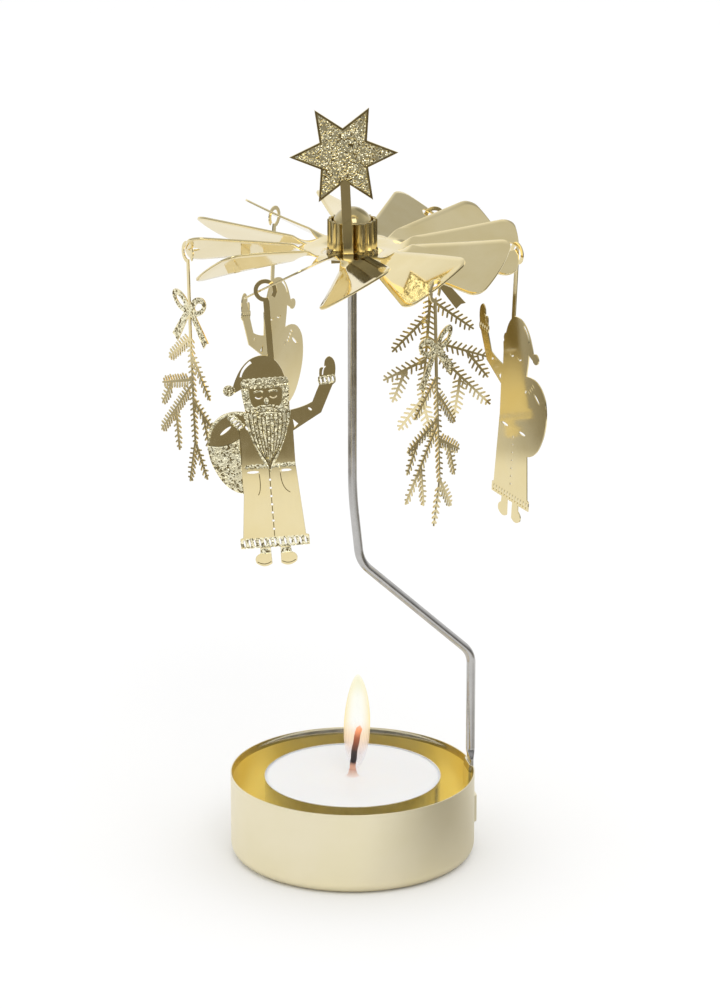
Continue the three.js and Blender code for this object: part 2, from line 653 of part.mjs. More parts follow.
// Bearded figure in a long coat with a sack on its back and one arm raised.
function figureShape() {
  const body = new THREE.Shape();
  body.moveTo(0.4, FIGURE_TOP);
  body.lineTo(-0.4, FIGURE_TOP);
  body.quadraticCurveTo(-4.2, -13.6, -6.4, -19.5);
  body.absarc(-7.3, -20.3, 1.15, Math.PI / 4, Math.PI * 1.83, false);
  body.lineTo(-4.8, -20.2);
  body.lineTo(-4.7, -22);
  body.lineTo(-4.3, -25);
  body.quadraticCurveTo(-9.4, -23.8, -11.8, -28);
  body.quadraticCurveTo(-13.4, -32.6, -11.2, -37.2);
  body.quadraticCurveTo(-9.4, -41.4, -6, -42.2);
  body.lineTo(-6.9, -51.6);
  body.lineTo(-7.5, -51.8);
  body.lineTo(-7.5, -53.9);
  body.lineTo(-3.6, -53.9);
  body.lineTo(-3.7, -55.2);
  body.quadraticCurveTo(-5.2, -55.8, -4.6, -57.2);
  body.quadraticCurveTo(-3, -58.6, -1.4, -57.4);
  body.lineTo(-1.5, -53.9);
  body.lineTo(0.5, -53.9);
  body.lineTo(0.4, -57.4);
  body.quadraticCurveTo(2, -58.6, 3.6, -57.2);
  body.quadraticCurveTo(4.2, -55.8, 2.7, -55.2);
  body.lineTo(2.6, -53.9);
  body.lineTo(6.5, -53.9);
  body.lineTo(6.5, -51.8);
  body.lineTo(5.9, -51.6);
  body.lineTo(4.9, -36.4);
  body.lineTo(5, -29.6);
  body.lineTo(10.9, -26.2);
  body.lineTo(13.6, -20.6);
  body.lineTo(14.1, -20.2);
  body.lineTo(14.3, -18.4);
  body.quadraticCurveTo(14.9, -15.2, 13.4, -14.6);
  body.quadraticCurveTo(12.2, -14.8, 12.2, -17);
  body.quadraticCurveTo(11, -16.2, 11.1, -18.6);
  body.lineTo(10.9, -20.4);
  body.lineTo(9.3, -23.8);
  body.quadraticCurveTo(7.4, -24.8, 4.6, -25.2);
  body.lineTo(4.7, -22);
  body.lineTo(4.9, -20.2);
  body.lineTo(4.4, -19.6);
  body.quadraticCurveTo(3.6, -14, 0.4, FIGURE_TOP);
  body.holes.push(roundSlot(-3.8, -37.8, 2.5, 0.6, 0));
  body.holes.push(roundSlot(2.8, -37.8, 2.5, 0.6, 0));
  body.holes.push(roundSlot(-8.6, -28.6, 2.8, 0.6, Math.PI / 5));
  for (let i = 0; i < BUTTON_COUNT; i += 1) {
    const hole = new THREE.Path();
    hole.absarc(-0.5, -39.6 - i * BUTTON_PITCH, BUTTON_RADIUS, 0, 2 * Math.PI, true);
    body.holes.push(hole);
  }
  return body;
}

function figurePlates() {
  const hook = hookShape(FIGURE_STEM_WIDTH, FIGURE_TOP - FIGURE_STEM_LAP);
  const body = plate(figureShape(), PLATE_SHEET).translate(-FIGURE_HOOK_X, 0, 0);
  return [plate(hook, PLATE_SHEET, HOOK_CURVE_STEPS), body];
}

// A tapering twig with needles along both edges, from its root to its end.
function twig([x, z], [endX, endZ]) {
  const direction = Math.atan2(endX - x, z - endZ);
  const length = Math.hypot(endX - x, endZ - z);
  const count = Math.floor((length - NEEDLE_FORWARD) / NEEDLE_PITCH);
  const side = [];
  for (let i = 0; i < count; i += 1) {
    const along = (length * (i + 0.5)) / count - NEEDLE_ROOT;
    const half = TWIG_HALF_WIDTH * (1 - (TWIG_TAPER * along) / length);
    side.push([along, half], [along + NEEDLE_FORWARD, half + NEEDLE_OUT], [along + NEEDLE_ROOT, half]);
  }
  const left = [[0, TWIG_HALF_WIDTH], ...side, [length, TWIG_HALF_WIDTH / 2]];
  const right = left.map(([along, out]) => [along, -out]).reverse();
  const toPlate = ([along, out]) => new THREE.Vector2(
    x + along * Math.sin(direction) + out * Math.cos(direction),
    z - along * Math.cos(direction) + out * Math.sin(direction),
  );
  return plate(new THREE.Shape([...left, ...right].map(toPlate)), PLATE_SHEET);
}

// Two loops with open eyes and two tails with notched ends.
function bowPlates() {
  const pieces = [];
  for (const side of [-1, 1]) {
    const tilt = side * LOOP_TILT;
    const loop = new THREE.Shape();
    const middle = BOW_Z + LOOP_UP;
    loop.absellipse(side * LOOP_OUT, middle, LOOP_LENGTH / 2, LOOP_WIDTH / 2, 0, 2 * Math.PI, false, tilt);
    loop.holes.push(roundSlot(side * EYE_OUT, middle, EYE_LENGTH, EYE_WIDTH, tilt));
    const end = BOW_Z - (side < 0 ? LEFT_TAIL : RIGHT_TAIL);
    const tail = new THREE.Shape();
    tail.moveTo(-side * TAIL_WIDTH / 4, BOW_Z);
    tail.lineTo(side * TAIL_OUT, end);
    tail.lineTo(side * (TAIL_OUT + TAIL_WIDTH * TAIL_CLEFT), end + TAIL_NOTCH);
    tail.lineTo(side * (TAIL_OUT + TAIL_WIDTH), end + TAIL_RISE);
    tail.lineTo(side * TAIL_WIDTH / 2, BOW_Z + TAIL_WIDTH / 3);
    pieces.push(plate(loop, PLATE_SHEET), plate(tail, PLATE_SHEET));
  }
  return pieces;
}

function sprigPlates() {
  const hook = hookShape(SPRIG_STEM_WIDTH, SPRIG_TOP - SPRIG_STEM_LAP);
  const pieces = [plate(hook, PLATE_SHEET, HOOK_CURVE_STEPS), ...bowPlates()];
  pieces.push(...TWIGS.map(({ root, end }) => twig(root, end)));
  return pieces;
}

// Turns a plate about its hook until its centre of mass is straight below.
function hang(geometry) {
  const place = geometry.attributes.position;
  const index = geometry.index.array;
  const corners = [0, 1, 2].map(() => new THREE.Vector3());
  const moment = new THREE.Vector3();
  const cross = new THREE.Vector3();
  for (let i = 0; i < index.length; i += 3) {
    corners.forEach((corner, k) => corner.fromBufferAttribute(place, index[i + k]));
    const volume = corners[0].dot(cross.crossVectors(corners[1], corners[2]));
    corners.forEach((corner) => moment.addScaledVector(corner, volume));
  }
  return geometry.rotateY(Math.atan2(moment.x, -moment.z));
}

// Where the hook's centre lies beside a vane along +X: the strip of sheet between the hole and the
// tip runs through the ring, so the ring is centred on it and hangs a little below.
function hookCentre() {
  const spread = Math.hypot(Math.sin(PLATE_TURN), Math.cos(PLATE_TURN) / Math.cos(VANE_TWIST));
  const along = new THREE.Vector2(Math.sin(PLATE_TURN), -Math.cos(PLATE_TURN) / Math.cos(VANE_TWIST));
  along.divideScalar(spread);
  const start = (side) => new THREE.Vector2(
    HOLE_CENTRE + HOOK_OUTSET + side * (PLATE_SHEET / 2) * Math.cos(PLATE_TURN),
    (side * (PLATE_SHEET / 2) * Math.sin(PLATE_TURN)) / Math.cos(VANE_TWIST),
  );
  const reach = (from, centre, radius) => {
    const offset = from.clone().sub(new THREE.Vector2(centre, 0));
    const run = offset.dot(along);
    return Math.sqrt(radius * radius - offset.lengthSq() + run * run) - run;
  };
  const nearEnd = Math.min(...[-1, 1].map((side) => reach(start(side), HOLE_CENTRE, HOLE_RADIUS)));
  const farEnd = Math.max(...[-1, 1].map((side) => reach(start(side), 0, WHEEL_RADIUS)));
  const middle = start(0).addScaledVector(along, (nearEnd + farEnd) / 2);
  const onSheet = new THREE.Vector3(
    middle.x,
    middle.y * Math.cos(VANE_TWIST),
    WHEEL_Z + middle.y * Math.sin(VANE_TWIST),
  );
  const forward = new THREE.Vector3(Math.sin(PLATE_TURN), -Math.cos(PLATE_TURN), 0);
  const fall = along.y * Math.sin(VANE_TWIST);
  const level = along.x / Math.sin(PLATE_TURN);
  return onSheet.addScaledVector(forward, fall * HOOK_DROP).add(new THREE.Vector3(0, 0, -level * HOOK_DROP));
}

function hangingPlates() {
  const figure = hang(shell(join(figurePlates())));
  const sprig = hang(shell(join(sprigPlates())));
  const centre = hookCentre();
  const names = ['figure_a', 'sprig_a', 'figure_b', 'sprig_b', 'figure_c', 'sprig_c'];
  return names.map((name, i) => {
    const azimuth = (2 * Math.PI * i) / names.length;
    const part = mesh(name, (i % 2 === 0 ? figure : sprig).clone(), GOLD);
    part.position.copy(centre).applyAxisAngle(new THREE.Vector3(0, 0, 1), azimuth);
    part.rotation.z = azimuth + PLATE_TURN + Math.PI / 2;
    return part;
  });
}

// Assembly

const tealight = new THREE.Group();
tealight.add(mesh('tealight_cup', tealightCup(), ALUMINIUM));
tealight.add(mesh('tealight_wax', tealightWax(), WAX));
tealight.add(mesh('wick', wick(), COTTON));
tealight.add(mesh('wick_sustainer', wickSustainer(), ALUMINIUM));

const rotor = new THREE.Group();
rotor.rotation.z = ROTOR_REST_TURN;
rotor.add(mesh('vane_wheel', vaneWheel(), GOLD));
rotor.add(mesh('hub_crown', hubCrown(), GOLD));
rotor.add(mesh('bearing_thimble', bearingThimble(), GOLD));
rotor.add(mesh('star_finial', starFinial(), GOLD));
rotor.add(...hangingPlates());

const candleHolder = new THREE.Group();
candleHolder.add(mesh('cup', cup(), GOLD));
candleHolder.add(mesh('wire_stand', wireStand(), STEEL));
candleHolder.add(tealight);
candleHolder.add(rotor);

export default candleHolder;
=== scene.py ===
"""Looks of a rotating candle holder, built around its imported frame.

Sizes are in millimetres and meshes are written in metres. The rotor's pieces and the hanging
plates are worked out in frames of their own and put in place before they are written, so every
object sits at the origin with its place in its mesh.
"""

import itertools
import json
import logging
import math
from collections.abc import Sequence
from dataclasses import dataclass, field, replace
from enum import IntEnum
from functools import cache

import bmesh
import bpy
import numpy as np
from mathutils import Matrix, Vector, geometry


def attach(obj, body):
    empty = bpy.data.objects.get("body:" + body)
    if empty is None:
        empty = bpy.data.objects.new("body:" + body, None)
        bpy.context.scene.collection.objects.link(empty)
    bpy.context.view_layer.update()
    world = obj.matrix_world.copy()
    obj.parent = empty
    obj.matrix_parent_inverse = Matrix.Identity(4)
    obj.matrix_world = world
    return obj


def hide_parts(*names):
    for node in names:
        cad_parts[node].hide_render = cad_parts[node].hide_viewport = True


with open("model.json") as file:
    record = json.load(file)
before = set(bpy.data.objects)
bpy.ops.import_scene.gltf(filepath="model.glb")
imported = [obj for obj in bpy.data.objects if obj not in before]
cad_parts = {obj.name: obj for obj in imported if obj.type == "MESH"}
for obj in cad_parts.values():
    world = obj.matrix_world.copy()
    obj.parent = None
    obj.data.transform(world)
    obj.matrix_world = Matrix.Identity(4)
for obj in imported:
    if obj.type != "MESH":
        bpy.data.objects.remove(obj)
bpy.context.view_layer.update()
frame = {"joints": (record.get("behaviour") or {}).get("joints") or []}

LOG = logging.getLogger("candle_holder")
MM = 0.001
IMAGE_SIZE = (720, 1008)
ROTOR_TURN = math.radians(-11)
QUARTER = np.pi / 2
NO_SHIFT = (0.0, 0.0, 0.0)
# Tolerances in millimetres: of a height, of points to merge, of crossing outlines, and the least
# length and the least rise to divide by
NEAR = 1e-6
MERGE = 1e-4
CUT_NEAR = 1e-5
TINY = 1e-9
LEVEL = 1e-12
# Most that a corner widens a plate's chamfer, and the depth from which a stippled facet is dark
MITRE_LIMIT = 1.5
HOLLOW_SHARE = 0.47
SHARP_DEG = 35.0
PLATE_SHARP_DEG = 25.0
CLOUD_SPAN = (0.27, 0.73)
WORN_SPAN = (0.0, 0.7)
Point = tuple[float, float]
Span = tuple[float, float]
Triple = tuple[float, float, float]
Colour = Triple
Socket = bpy.types.NodeSocket
Material = bpy.types.Material


class Dress(IntEnum):
    """Finish number of a face on a gold plate."""

    POLISHED = 0
    STIPPLED = 1
    ETCHED = 2


class TraySide(IntEnum):
    """Finish number of a face on the tray."""

    OUTSIDE = 0
    INSIDE = 1
    RIM = 2


# Shapes


def smoothstep(t: np.ndarray) -> np.ndarray:
    """Cubic ease from 0 to 1, level at both ends."""
    t = np.clip(t, 0.0, 1.0)
    return t * t * (3.0 - 2.0 * t)


def metres(lengths: Span | Triple) -> tuple[float, ...]:
    """Lengths in millimetres as metres."""
    return tuple(length * MM for length in lengths)


def pairs(x: float | np.ndarray, z: float | np.ndarray) -> np.ndarray:
    """Points of two coordinates, shape (n, 2), one of which may be the same for all."""
    return np.column_stack(np.broadcast_arrays(x, z))


def laid_flat(points: np.ndarray) -> np.ndarray:
    """Points of a plane, in a list or a grid, with a third coordinate of 0."""
    return np.concatenate([points, np.zeros((*points.shape[:-1], 1))], axis=-1)


def full_turn(count: int) -> np.ndarray:
    """Angles of equal steps once round, from 0."""
    return np.linspace(0.0, 2.0 * np.pi, count, endpoint=False)


def arc(centre: Point, radius: float | np.ndarray, angle: np.ndarray) -> np.ndarray:
    """Points of a circle at given angles, shape (n, 2): centre + r (cos a, sin a)."""
    return np.array(centre) + radius * pairs(np.cos(angle), np.sin(angle))


def circle(centre: Point, radius: float, count: int) -> np.ndarray:
    """Points of equal steps round a circle, counter-clockwise."""
    return arc(centre, radius, full_turn(count))


def turn_flat(points: np.ndarray, angle: float) -> np.ndarray:
    """Points of a plane turned counter-clockwise about its origin."""
    c, s = math.cos(angle), math.sin(angle)
    return points @ np.array([[c, s], [-s, c]])


def oval(
    centre: Point, length: float, width: float, tilt_deg: float, count: int = 28
) -> np.ndarray:
    """Points round an ellipse whose long axis is tilted from X by some degrees."""
    flat = circle((0.0, 0.0), 0.5, count) * (length, width)
    return np.array(centre) + turn_flat(flat, math.radians(tilt_deg))


def headings(line: np.ndarray) -> np.ndarray:
    """Unit vectors along a line at each of its points, from the differences of its neighbours."""
    run = np.gradient(line, axis=0)
    return run / np.linalg.norm(run, axis=1)[:, None]


def strip(line: np.ndarray, width: float | np.ndarray) -> np.ndarray:
    """Outline of a ribbon along a line: the line pushed half a width to each side.

    Args:
        line: Points of the line, shape (n, 2).
        width: Width all along the line, or one at each point.

    Returns:
        Closed outline, counter-clockwise, shape (2 n, 2).
    """
    run = headings(line)
    half = np.broadcast_to(width, len(line))[:, None] / 2.0
    push = half * pairs(-run[:, 1], run[:, 0])
    return np.vstack([line - push, (line + push)[::-1]])


def bent_line(start: Point, pull: Point, end: Point, count: int = 14) -> np.ndarray:
    """Points of a quadratic curve from start to end, drawn towards pull."""
    t = np.linspace(0.0, 1.0, count)[:, None]
    return (1 - t) ** 2 * np.array(start) + 2 * t * (1 - t) * np.array(pull) + t * t * np.array(end)


def counter_clockwise(outline: np.ndarray) -> np.ndarray:
    """The outline, turned round if its signed area is negative."""
    x, z = outline[:, 0], outline[:, 1]
    return outline if np.sum(x * np.roll(z, -1) - np.roll(x, -1) * z) > 0 else outline[::-1]


class Pen:
    """Draws a closed outline from straight runs, bends and arcs."""

    def __init__(self, x: float, z: float) -> None:
        """Starts the outline at a point."""
        self.runs = [np.array([[x, z]])]

    def line(self, *ends: Point) -> "Pen":
        """Straight runs to each end in turn."""
        self.runs.append(np.array(ends))
        return self

    def bend(self, pull: Point, end: Point, count: int = 12) -> "Pen":
        """A quadratic bend from the last point to end, drawn towards pull."""
        self.runs.append(bent_line(tuple(self.runs[-1][-1]), pull, end, count + 1)[1:])
        return self

    def arc(self, centre: Point, radius: float, start: float, end: float, count: int = 28) -> "Pen":
        """An arc between two angles in radians."""
        self.runs.append(arc(centre, radius, np.linspace(start, end, count)))
        return self

    def outline(self) -> np.ndarray:
        """The outline's points, counter-clockwise."""
        return counter_clockwise(np.vstack(self.runs))


def inside(points: np.ndarray, outline: np.ndarray) -> np.ndarray:
    """Which points lie inside an outline, by counting the edges to their right.

    Args:
        points: Array of shape (n, 2).
        outline: Closed outline of shape (m, 2).

    Returns:
        Boolean array of shape (n,).
    """
    a, b = outline, np.roll(outline, -1, axis=0)
    rise = b[:, 1] - a[:, 1]
    rise = np.where(np.abs(rise) < LEVEL, LEVEL, rise)
    z = points[:, 1:2]
    spans = (a[:, 1] > z) != (b[:, 1] > z)
    crossing = a[:, 0] + (z - a[:, 1]) * (b[:, 0] - a[:, 0]) / rise
    return np.sum(spans & (points[:, 0:1] < crossing), axis=1) % 2 == 1


# Meshes


def triangles(corners: np.ndarray) -> np.ndarray:
    """Triangles as faces of four corners, the last of which is -1."""
    return np.column_stack([corners, np.full(len(corners), -1)])


def fan(ring: np.ndarray, middle: int) -> np.ndarray:
    """Triangles from each side of a closed ring of corners to a corner in its middle."""
    return triangles(np.column_stack([ring, np.roll(ring, -1), np.full(len(ring), middle)]))


def open_sides(sides: np.ndarray) -> np.ndarray:
    """The directed sides, shape (n, 2), that no other side runs along the other way."""
    count = sides.max() + 1
    return sides[~np.isin(sides @ (count, 1), sides @ (1, count))]


def carried_round(
    r: np.ndarray, z: np.ndarray, angle: np.ndarray, shift: float | np.ndarray = 0.0
) -> np.ndarray:
    """Points of radius r and height z about Z: x = shift + r cos a, y = r sin a."""
    grid = np.broadcast_arrays(shift + r * np.cos(angle), r * np.sin(angle), z)
    return np.stack(grid, axis=-1)


@dataclass
class Surface:
    """Points in millimetres and faces with finish numbers; a triangle's fourth corner is -1."""

    points: np.ndarray
    faces: np.ndarray
    finish: np.ndarray
    faceted: np.ndarray
    traces: dict[str, np.ndarray] = field(default_factory=dict)

    @staticmethod
    def of(
        points: np.ndarray,
        faces: np.ndarray,
        finish: int | np.ndarray = 0,
        faceted: bool | np.ndarray = False,
    ) -> "Surface":
        """A surface whose finish and faceting are the same all over or given face by face.

        Args:
            points: Array of shape (n, 3).
            faces: Corners of each face, shape (m, 4).
            finish: Finish number of all faces, or one for each.
            faceted: Whether the faces are shaded flat, for all or for each.

        Returns:
            The surface.
        """
        finish = np.broadcast_to(np.asarray(finish, int), len(faces)).copy()
        faceted = np.broadcast_to(np.asarray(faceted, bool), len(faces)).copy()
        return Surface(points, faces, finish, faceted)

    @staticmethod
    def grid(points: np.ndarray, wrap_rows: bool = False, wrap_columns: bool = False) -> "Surface":
        """Quads between neighbouring points of a grid.

        Args:
            points: Array of shape (rows, columns, 3).
            wrap_rows: Whether the last row joins the first.
            wrap_columns: Whether the last column joins the first.

        Returns:
            The surface.
        """
        rows, columns = points.shape[:2]
        number = np.arange(rows * columns).reshape(rows, columns)
        number = np.pad(number, ((0, int(wrap_rows)), (0, int(wrap_columns))), mode="wrap")
        corners = (number[:-1, :-1], number[:-1, 1:], number[1:, 1:], number[1:, :-1])
        return Surface.of(points.reshape(-1, 3), np.stack(corners, axis=-1).reshape(-1, 4))

    def capped(self, columns: int) -> "Surface":
        """The surface with its first and last ring closed by a fan round the ring's middle.

        Args:
            columns: Number of points in a ring.

        Returns:
            The closed surface.
        """
        count = len(self.points)
        rings = (np.arange(columns), np.arange(count - columns, count))
        fans = [fan(ring, count + i) for i, ring in enumerate(rings)]
        layers = [
            np.vstack([layer, *(layer[ring].mean(axis=0) for ring in rings)])
            for layer in (self.points, *self.traces.values())
        ]
        cap = Surface.of(layers[0], np.vstack([self.faces, *fans]))
        cap.traces = dict(zip(self.traces, layers[1:]))
        return cap

    def moved(
        self, turn: float, offset: Triple | np.ndarray = NO_SHIFT, plane: tuple[int, int] = (0, 1)
    ) -> "Surface":
        """A copy turned in a plane, then shifted.

        Args:
            turn: Angle in radians from the plane's first axis to its second.
            offset: Shift.
            plane: The two axes of the plane.

        Returns:
            The copy.
        """
        points = self.points.copy()
        points[:, plane] = turn_flat(points[:, plane], turn)
        return replace(self, points=points + np.array(offset))

    @staticmethod
    def together(pieces: list["Surface"]) -> "Surface":
        """Several surfaces as one.

        Args:
            pieces: Surfaces with the same traces.

        Returns:
            The joined surface.
        """
        starts = np.cumsum([0] + [len(p.points) for p in pieces[:-1]])
        faces = [np.where(p.faces < 0, -1, p.faces + start) for p, start in zip(pieces, starts)]
        return Surface(
            np.vstack([p.points for p in pieces]),
            np.vstack(faces),
            np.concatenate([p.finish for p in pieces]),
            np.concatenate([p.faceted for p in pieces]),
            {key: np.vstack([p.traces[key] for p in pieces]) for key in pieces[0].traces},
        )

    def write(
        self, name: str, finishes: list[Material], sharp_deg: float = SHARP_DEG, closed: bool = True
    ) -> bpy.types.Object:
        """Writes the surface as a mesh object in metres at the origin.

        Args:
            name: Name of the object.
            finishes: Materials, in the order of the finish numbers.
            sharp_deg: Edges that turn by more than this are shaded sharp.
            closed: Whether the surface is a closed body, whose faces are turned outwards.

        Returns:
            The new object.
        """
        mesh = bpy.data.meshes.new(name)
        total = np.where(self.faces[:, 3] < 0, 3, 4)
        corners = self.faces[np.arange(4) < total[:, None]]
        mesh.vertices.add(len(self.points))
        mesh.vertices.foreach_set("co", (self.points * MM).astype(np.float32).ravel())
        mesh.loops.add(len(corners))
        mesh.loops.foreach_set("vertex_index", corners.astype(np.int32))
        mesh.polygons.add(len(total))
        starts = np.concatenate([[0], np.cumsum(total)[:-1]])
        rows = {"loop_start": starts, "loop_total": total, "material_index": self.finish}
        for key, values in rows.items():
            mesh.polygons.foreach_set(key, values.astype(np.int32))
        mesh.polygons.foreach_set("use_smooth", ~self.faceted)
        for key, values in self.traces.items():
            layer = mesh.attributes.new(key, "FLOAT_VECTOR", "POINT")
            layer.data.foreach_set("vector", values.astype(np.float32).ravel())
        for finish in finishes:
            mesh.materials.append(finish)
        mesh.update(calc_edges=True)
        mesh.validate()
        body = bmesh.new()
        body.from_mesh(mesh)
        bmesh.ops.remove_doubles(body, verts=body.verts, dist=MERGE * MM)
        if closed:
            bmesh.ops.recalc_face_normals(body, faces=body.faces)
        body.to_mesh(mesh)
        body.free()
        mesh.set_sharp_from_angle(angle=math.radians(sharp_deg))
        sharpen_seams(mesh)
        obj = bpy.data.objects.new(name, mesh)
        bpy.context.scene.collection.objects.link(obj)
        return obj


def sharpen_seams(mesh: bpy.types.Mesh) -> None:
    """Shades every edge between two finishes sharp, so that stipple does not tint plain metal.

    Args:
        mesh: The mesh.
    """
    faces, edges = len(mesh.polygons), len(mesh.edges)
    edge, total, finish = (np.empty(n, np.int32) for n in (len(mesh.loops), faces, faces))
    mesh.loops.foreach_get("edge_index", edge)
    mesh.polygons.foreach_get("loop_total", total)
    mesh.polygons.foreach_get("material_index", finish)
    low, high = np.full(edges, len(mesh.materials)), np.full(edges, -1)
    np.minimum.at(low, edge, np.repeat(finish, total))
    np.maximum.at(high, edge, np.repeat(finish, total))
    layer = mesh.attributes.get("sharp_edge")
    layer = layer or mesh.attributes.new("sharp_edge", "BOOLEAN", "EDGE")
    sharp = np.empty(edges, bool)
    layer.data.foreach_get("value", sharp)
    layer.data.foreach_set("value", sharp | (low != high))


def revolve(profile: np.ndarray, segments: int) -> Surface:
    """A profile of radius and height carried round Z, with a row for each profile point."""
    points = carried_round(profile[:, :1], profile[:, 1:], full_turn(segments))
    return Surface.grid(points, wrap_columns=True)


@dataclass
class FlatCut:
    """Triangles of a flat sheet cut from overlapping outlines, with the finish of each triangle.

    A point that was given as a speck keeps that speck's number; the others have -1.
    """

    points: np.ndarray
    triangles: np.ndarray
    finish: np.ndarray
    speck: np.ndarray

    @staticmethod
    def make(
        solid: list[np.ndarray],
        openings: list[np.ndarray],
        dressed: Sequence[tuple[np.ndarray, Dress]] = (),
        specks: np.ndarray | None = None,
    ) -> "FlatCut":
        """Triangulates the union of the solid outlines without the openings.

        Args:
            solid: Outlines whose union is the sheet.
            openings: Outlines cut out of it.
            dressed: Outlines with a finish of their own; later ones lie over earlier ones.
            specks: Loose points to use as extra corners, or None.

        Returns:
            The cut sheet.
        """
        outlines = (*solid, *openings, *(outline for outline, _ in dressed))
        loops = [counter_clockwise(outline) for outline in outlines]
        corners = np.vstack(loops if specks is None else [*loops, specks])
        ends = np.cumsum([len(loop) for loop in loops])
        faces = [list(range(end - len(loop), end)) for loop, end in zip(loops, ends)]
        spots = [Vector(p) for p in corners]
        made = geometry.delaunay_2d_cdt(spots, [], faces, 0, CUT_NEAR, True)
        points, origin = np.array(made[0]), made[5]
        rows = np.repeat(np.arange(len(origin)), [len(o) for o in origin])
        member = np.zeros((len(origin), len(loops)), bool)
        member[rows, np.fromiter(itertools.chain.from_iterable(origin), int, len(rows))] = True
        sheet, cuts, areas = np.split(member, np.cumsum([len(solid), len(openings)]), axis=1)
        kept = sheet.any(axis=1) & ~cuts.any(axis=1)
        finish = np.full(len(origin), int(Dress.POLISHED))
        for area, (_, dress) in zip(areas.T, dressed):
            finish[area] = int(dress)
        first = np.fromiter((o[0] if o else -1 for o in made[3]), int, len(points))
        speck = np.maximum(first - ends[-1], -1)
        return FlatCut(points, np.array(made[2])[kept], finish[kept], speck)

    def plate(self, thickness: float, chamfer: float, depth: np.ndarray) -> Surface:
        """A closed plate in X and Z, front towards -Y, with chamfered edges and a stippled front.

        The front and back are the cut pulled in by the chamfer along the rim's mitred normals, and
        the edge runs between two copies of the rim. Specks are sunk below the front. A stippled
        facet is dark where its mean depth is over a share of the deepest speck's.

        Args:
            thickness: Sheet thickness.
            chamfer: Width of the chamfer.
            depth: Depth of each speck.

        Returns:
            The plate.
        """
        count, front = len(self.points), self.triangles
        dents = np.where(self.speck >= 0, depth[self.speck], 0.0)
        dark = dents[front].mean(axis=1) > HOLLOW_SHARE * depth.max()
        dark &= self.finish == Dress.STIPPLED
        rim = open_sides(np.vstack([front[:, [0, 1]], front[:, [1, 2]], front[:, [2, 0]]]))
        run = self.points[rim[:, 1]] - self.points[rim[:, 0]]
        out = pairs(run[:, 1], -run[:, 0])
        out /= np.maximum(np.linalg.norm(out, axis=1), TINY)[:, None]
        push = np.zeros((count, 2))
        np.add.at(push, rim[:, 0], out)
        np.add.at(push, rim[:, 1], out)
        size = np.maximum(np.linalg.norm(push, axis=1), TINY)
        mitre = np.minimum(2.0 / size, MITRE_LIMIT) / size
        inner = self.points - chamfer * push * mitre[:, None]
        half = thickness / 2.0
        layers = (
            (inner, dents - half),
            (self.points, np.full(count, chamfer - half)),
            (self.points, np.full(count, half - chamfer)),
            (inner, np.full(count, half)),
        )
        points = np.vstack([np.column_stack([flat[:, 0], y, flat[:, 1]]) for flat, y in layers])
        faces = [triangles(front), triangles(front[:, ::-1] + 3 * count)]
        for a, b in (rim.T + lower * count for lower in range(3)):
            faces.append(np.column_stack([a, a + count, b + count, b]))
        faces = np.vstack(faces)
        finish = np.full(len(faces), int(Dress.POLISHED))
        finish[: len(front)] = np.where(dark, int(Dress.ETCHED), self.finish)
        used = np.unique(faces[faces >= 0])
        renumber = np.full(len(points) + 1, -1)
        renumber[used] = np.arange(len(used))
        return Surface.of(points[used], renumber[faces], finish, finish != Dress.POLISHED)


@dataclass(frozen=True)
class Stipple:
    """Etched stipple: a jittered triangular net whose points stand or are sunk by chance."""

    pitch: float = 0.235
    row: float = 0.866
    jitter: float = 0.25
    depth: float = 0.13
    unevenness: float = 0.35
    skim: float = 0.08
    standing: float = 0.71
    seed: int = 7

    def specks(self, outlines: list[np.ndarray]) -> tuple[np.ndarray, np.ndarray]:
        """Net points inside any of the outlines, and how far each is sunk.

        Args:
            outlines: Stippled areas.

        Returns:
            Points of shape (n, 2) and depths of shape (n,).
        """
        every = np.vstack(outlines)
        low = every.min(axis=0)
        columns, rows = (every.max(axis=0) - low) / self.pitch / (1.0, self.row)
        row, column = np.mgrid[0 : int(rows), 0 : int(columns)]
        net = np.stack([column + 0.5 * (row % 2), self.row * row], axis=-1).reshape(-1, 2)
        draw = np.random.default_rng(self.seed)
        points = low + self.pitch * (net + self.jitter * draw.uniform(-1, 1, net.shape))
        sunk = draw.uniform(0, 1, len(points)) > self.standing
        uneven = 1.0 - self.unevenness * draw.uniform(0, 1, len(points))
        keep = np.any([inside(points, outline) for outline in outlines], axis=0)
        return points[keep], (self.depth * (sunk * uneven + self.skim))[keep]


# Finishes


def shown(red: int, green: int, blue: int) -> Colour:
    """Linear colour of a display colour of 0 to 255, by the sRGB curve."""
    parts = (v / 255.0 for v in (red, green, blue))
    return tuple(v / 12.92 if v <= 0.04045 else ((v + 0.055) / 1.055) ** 2.4 for v in parts)


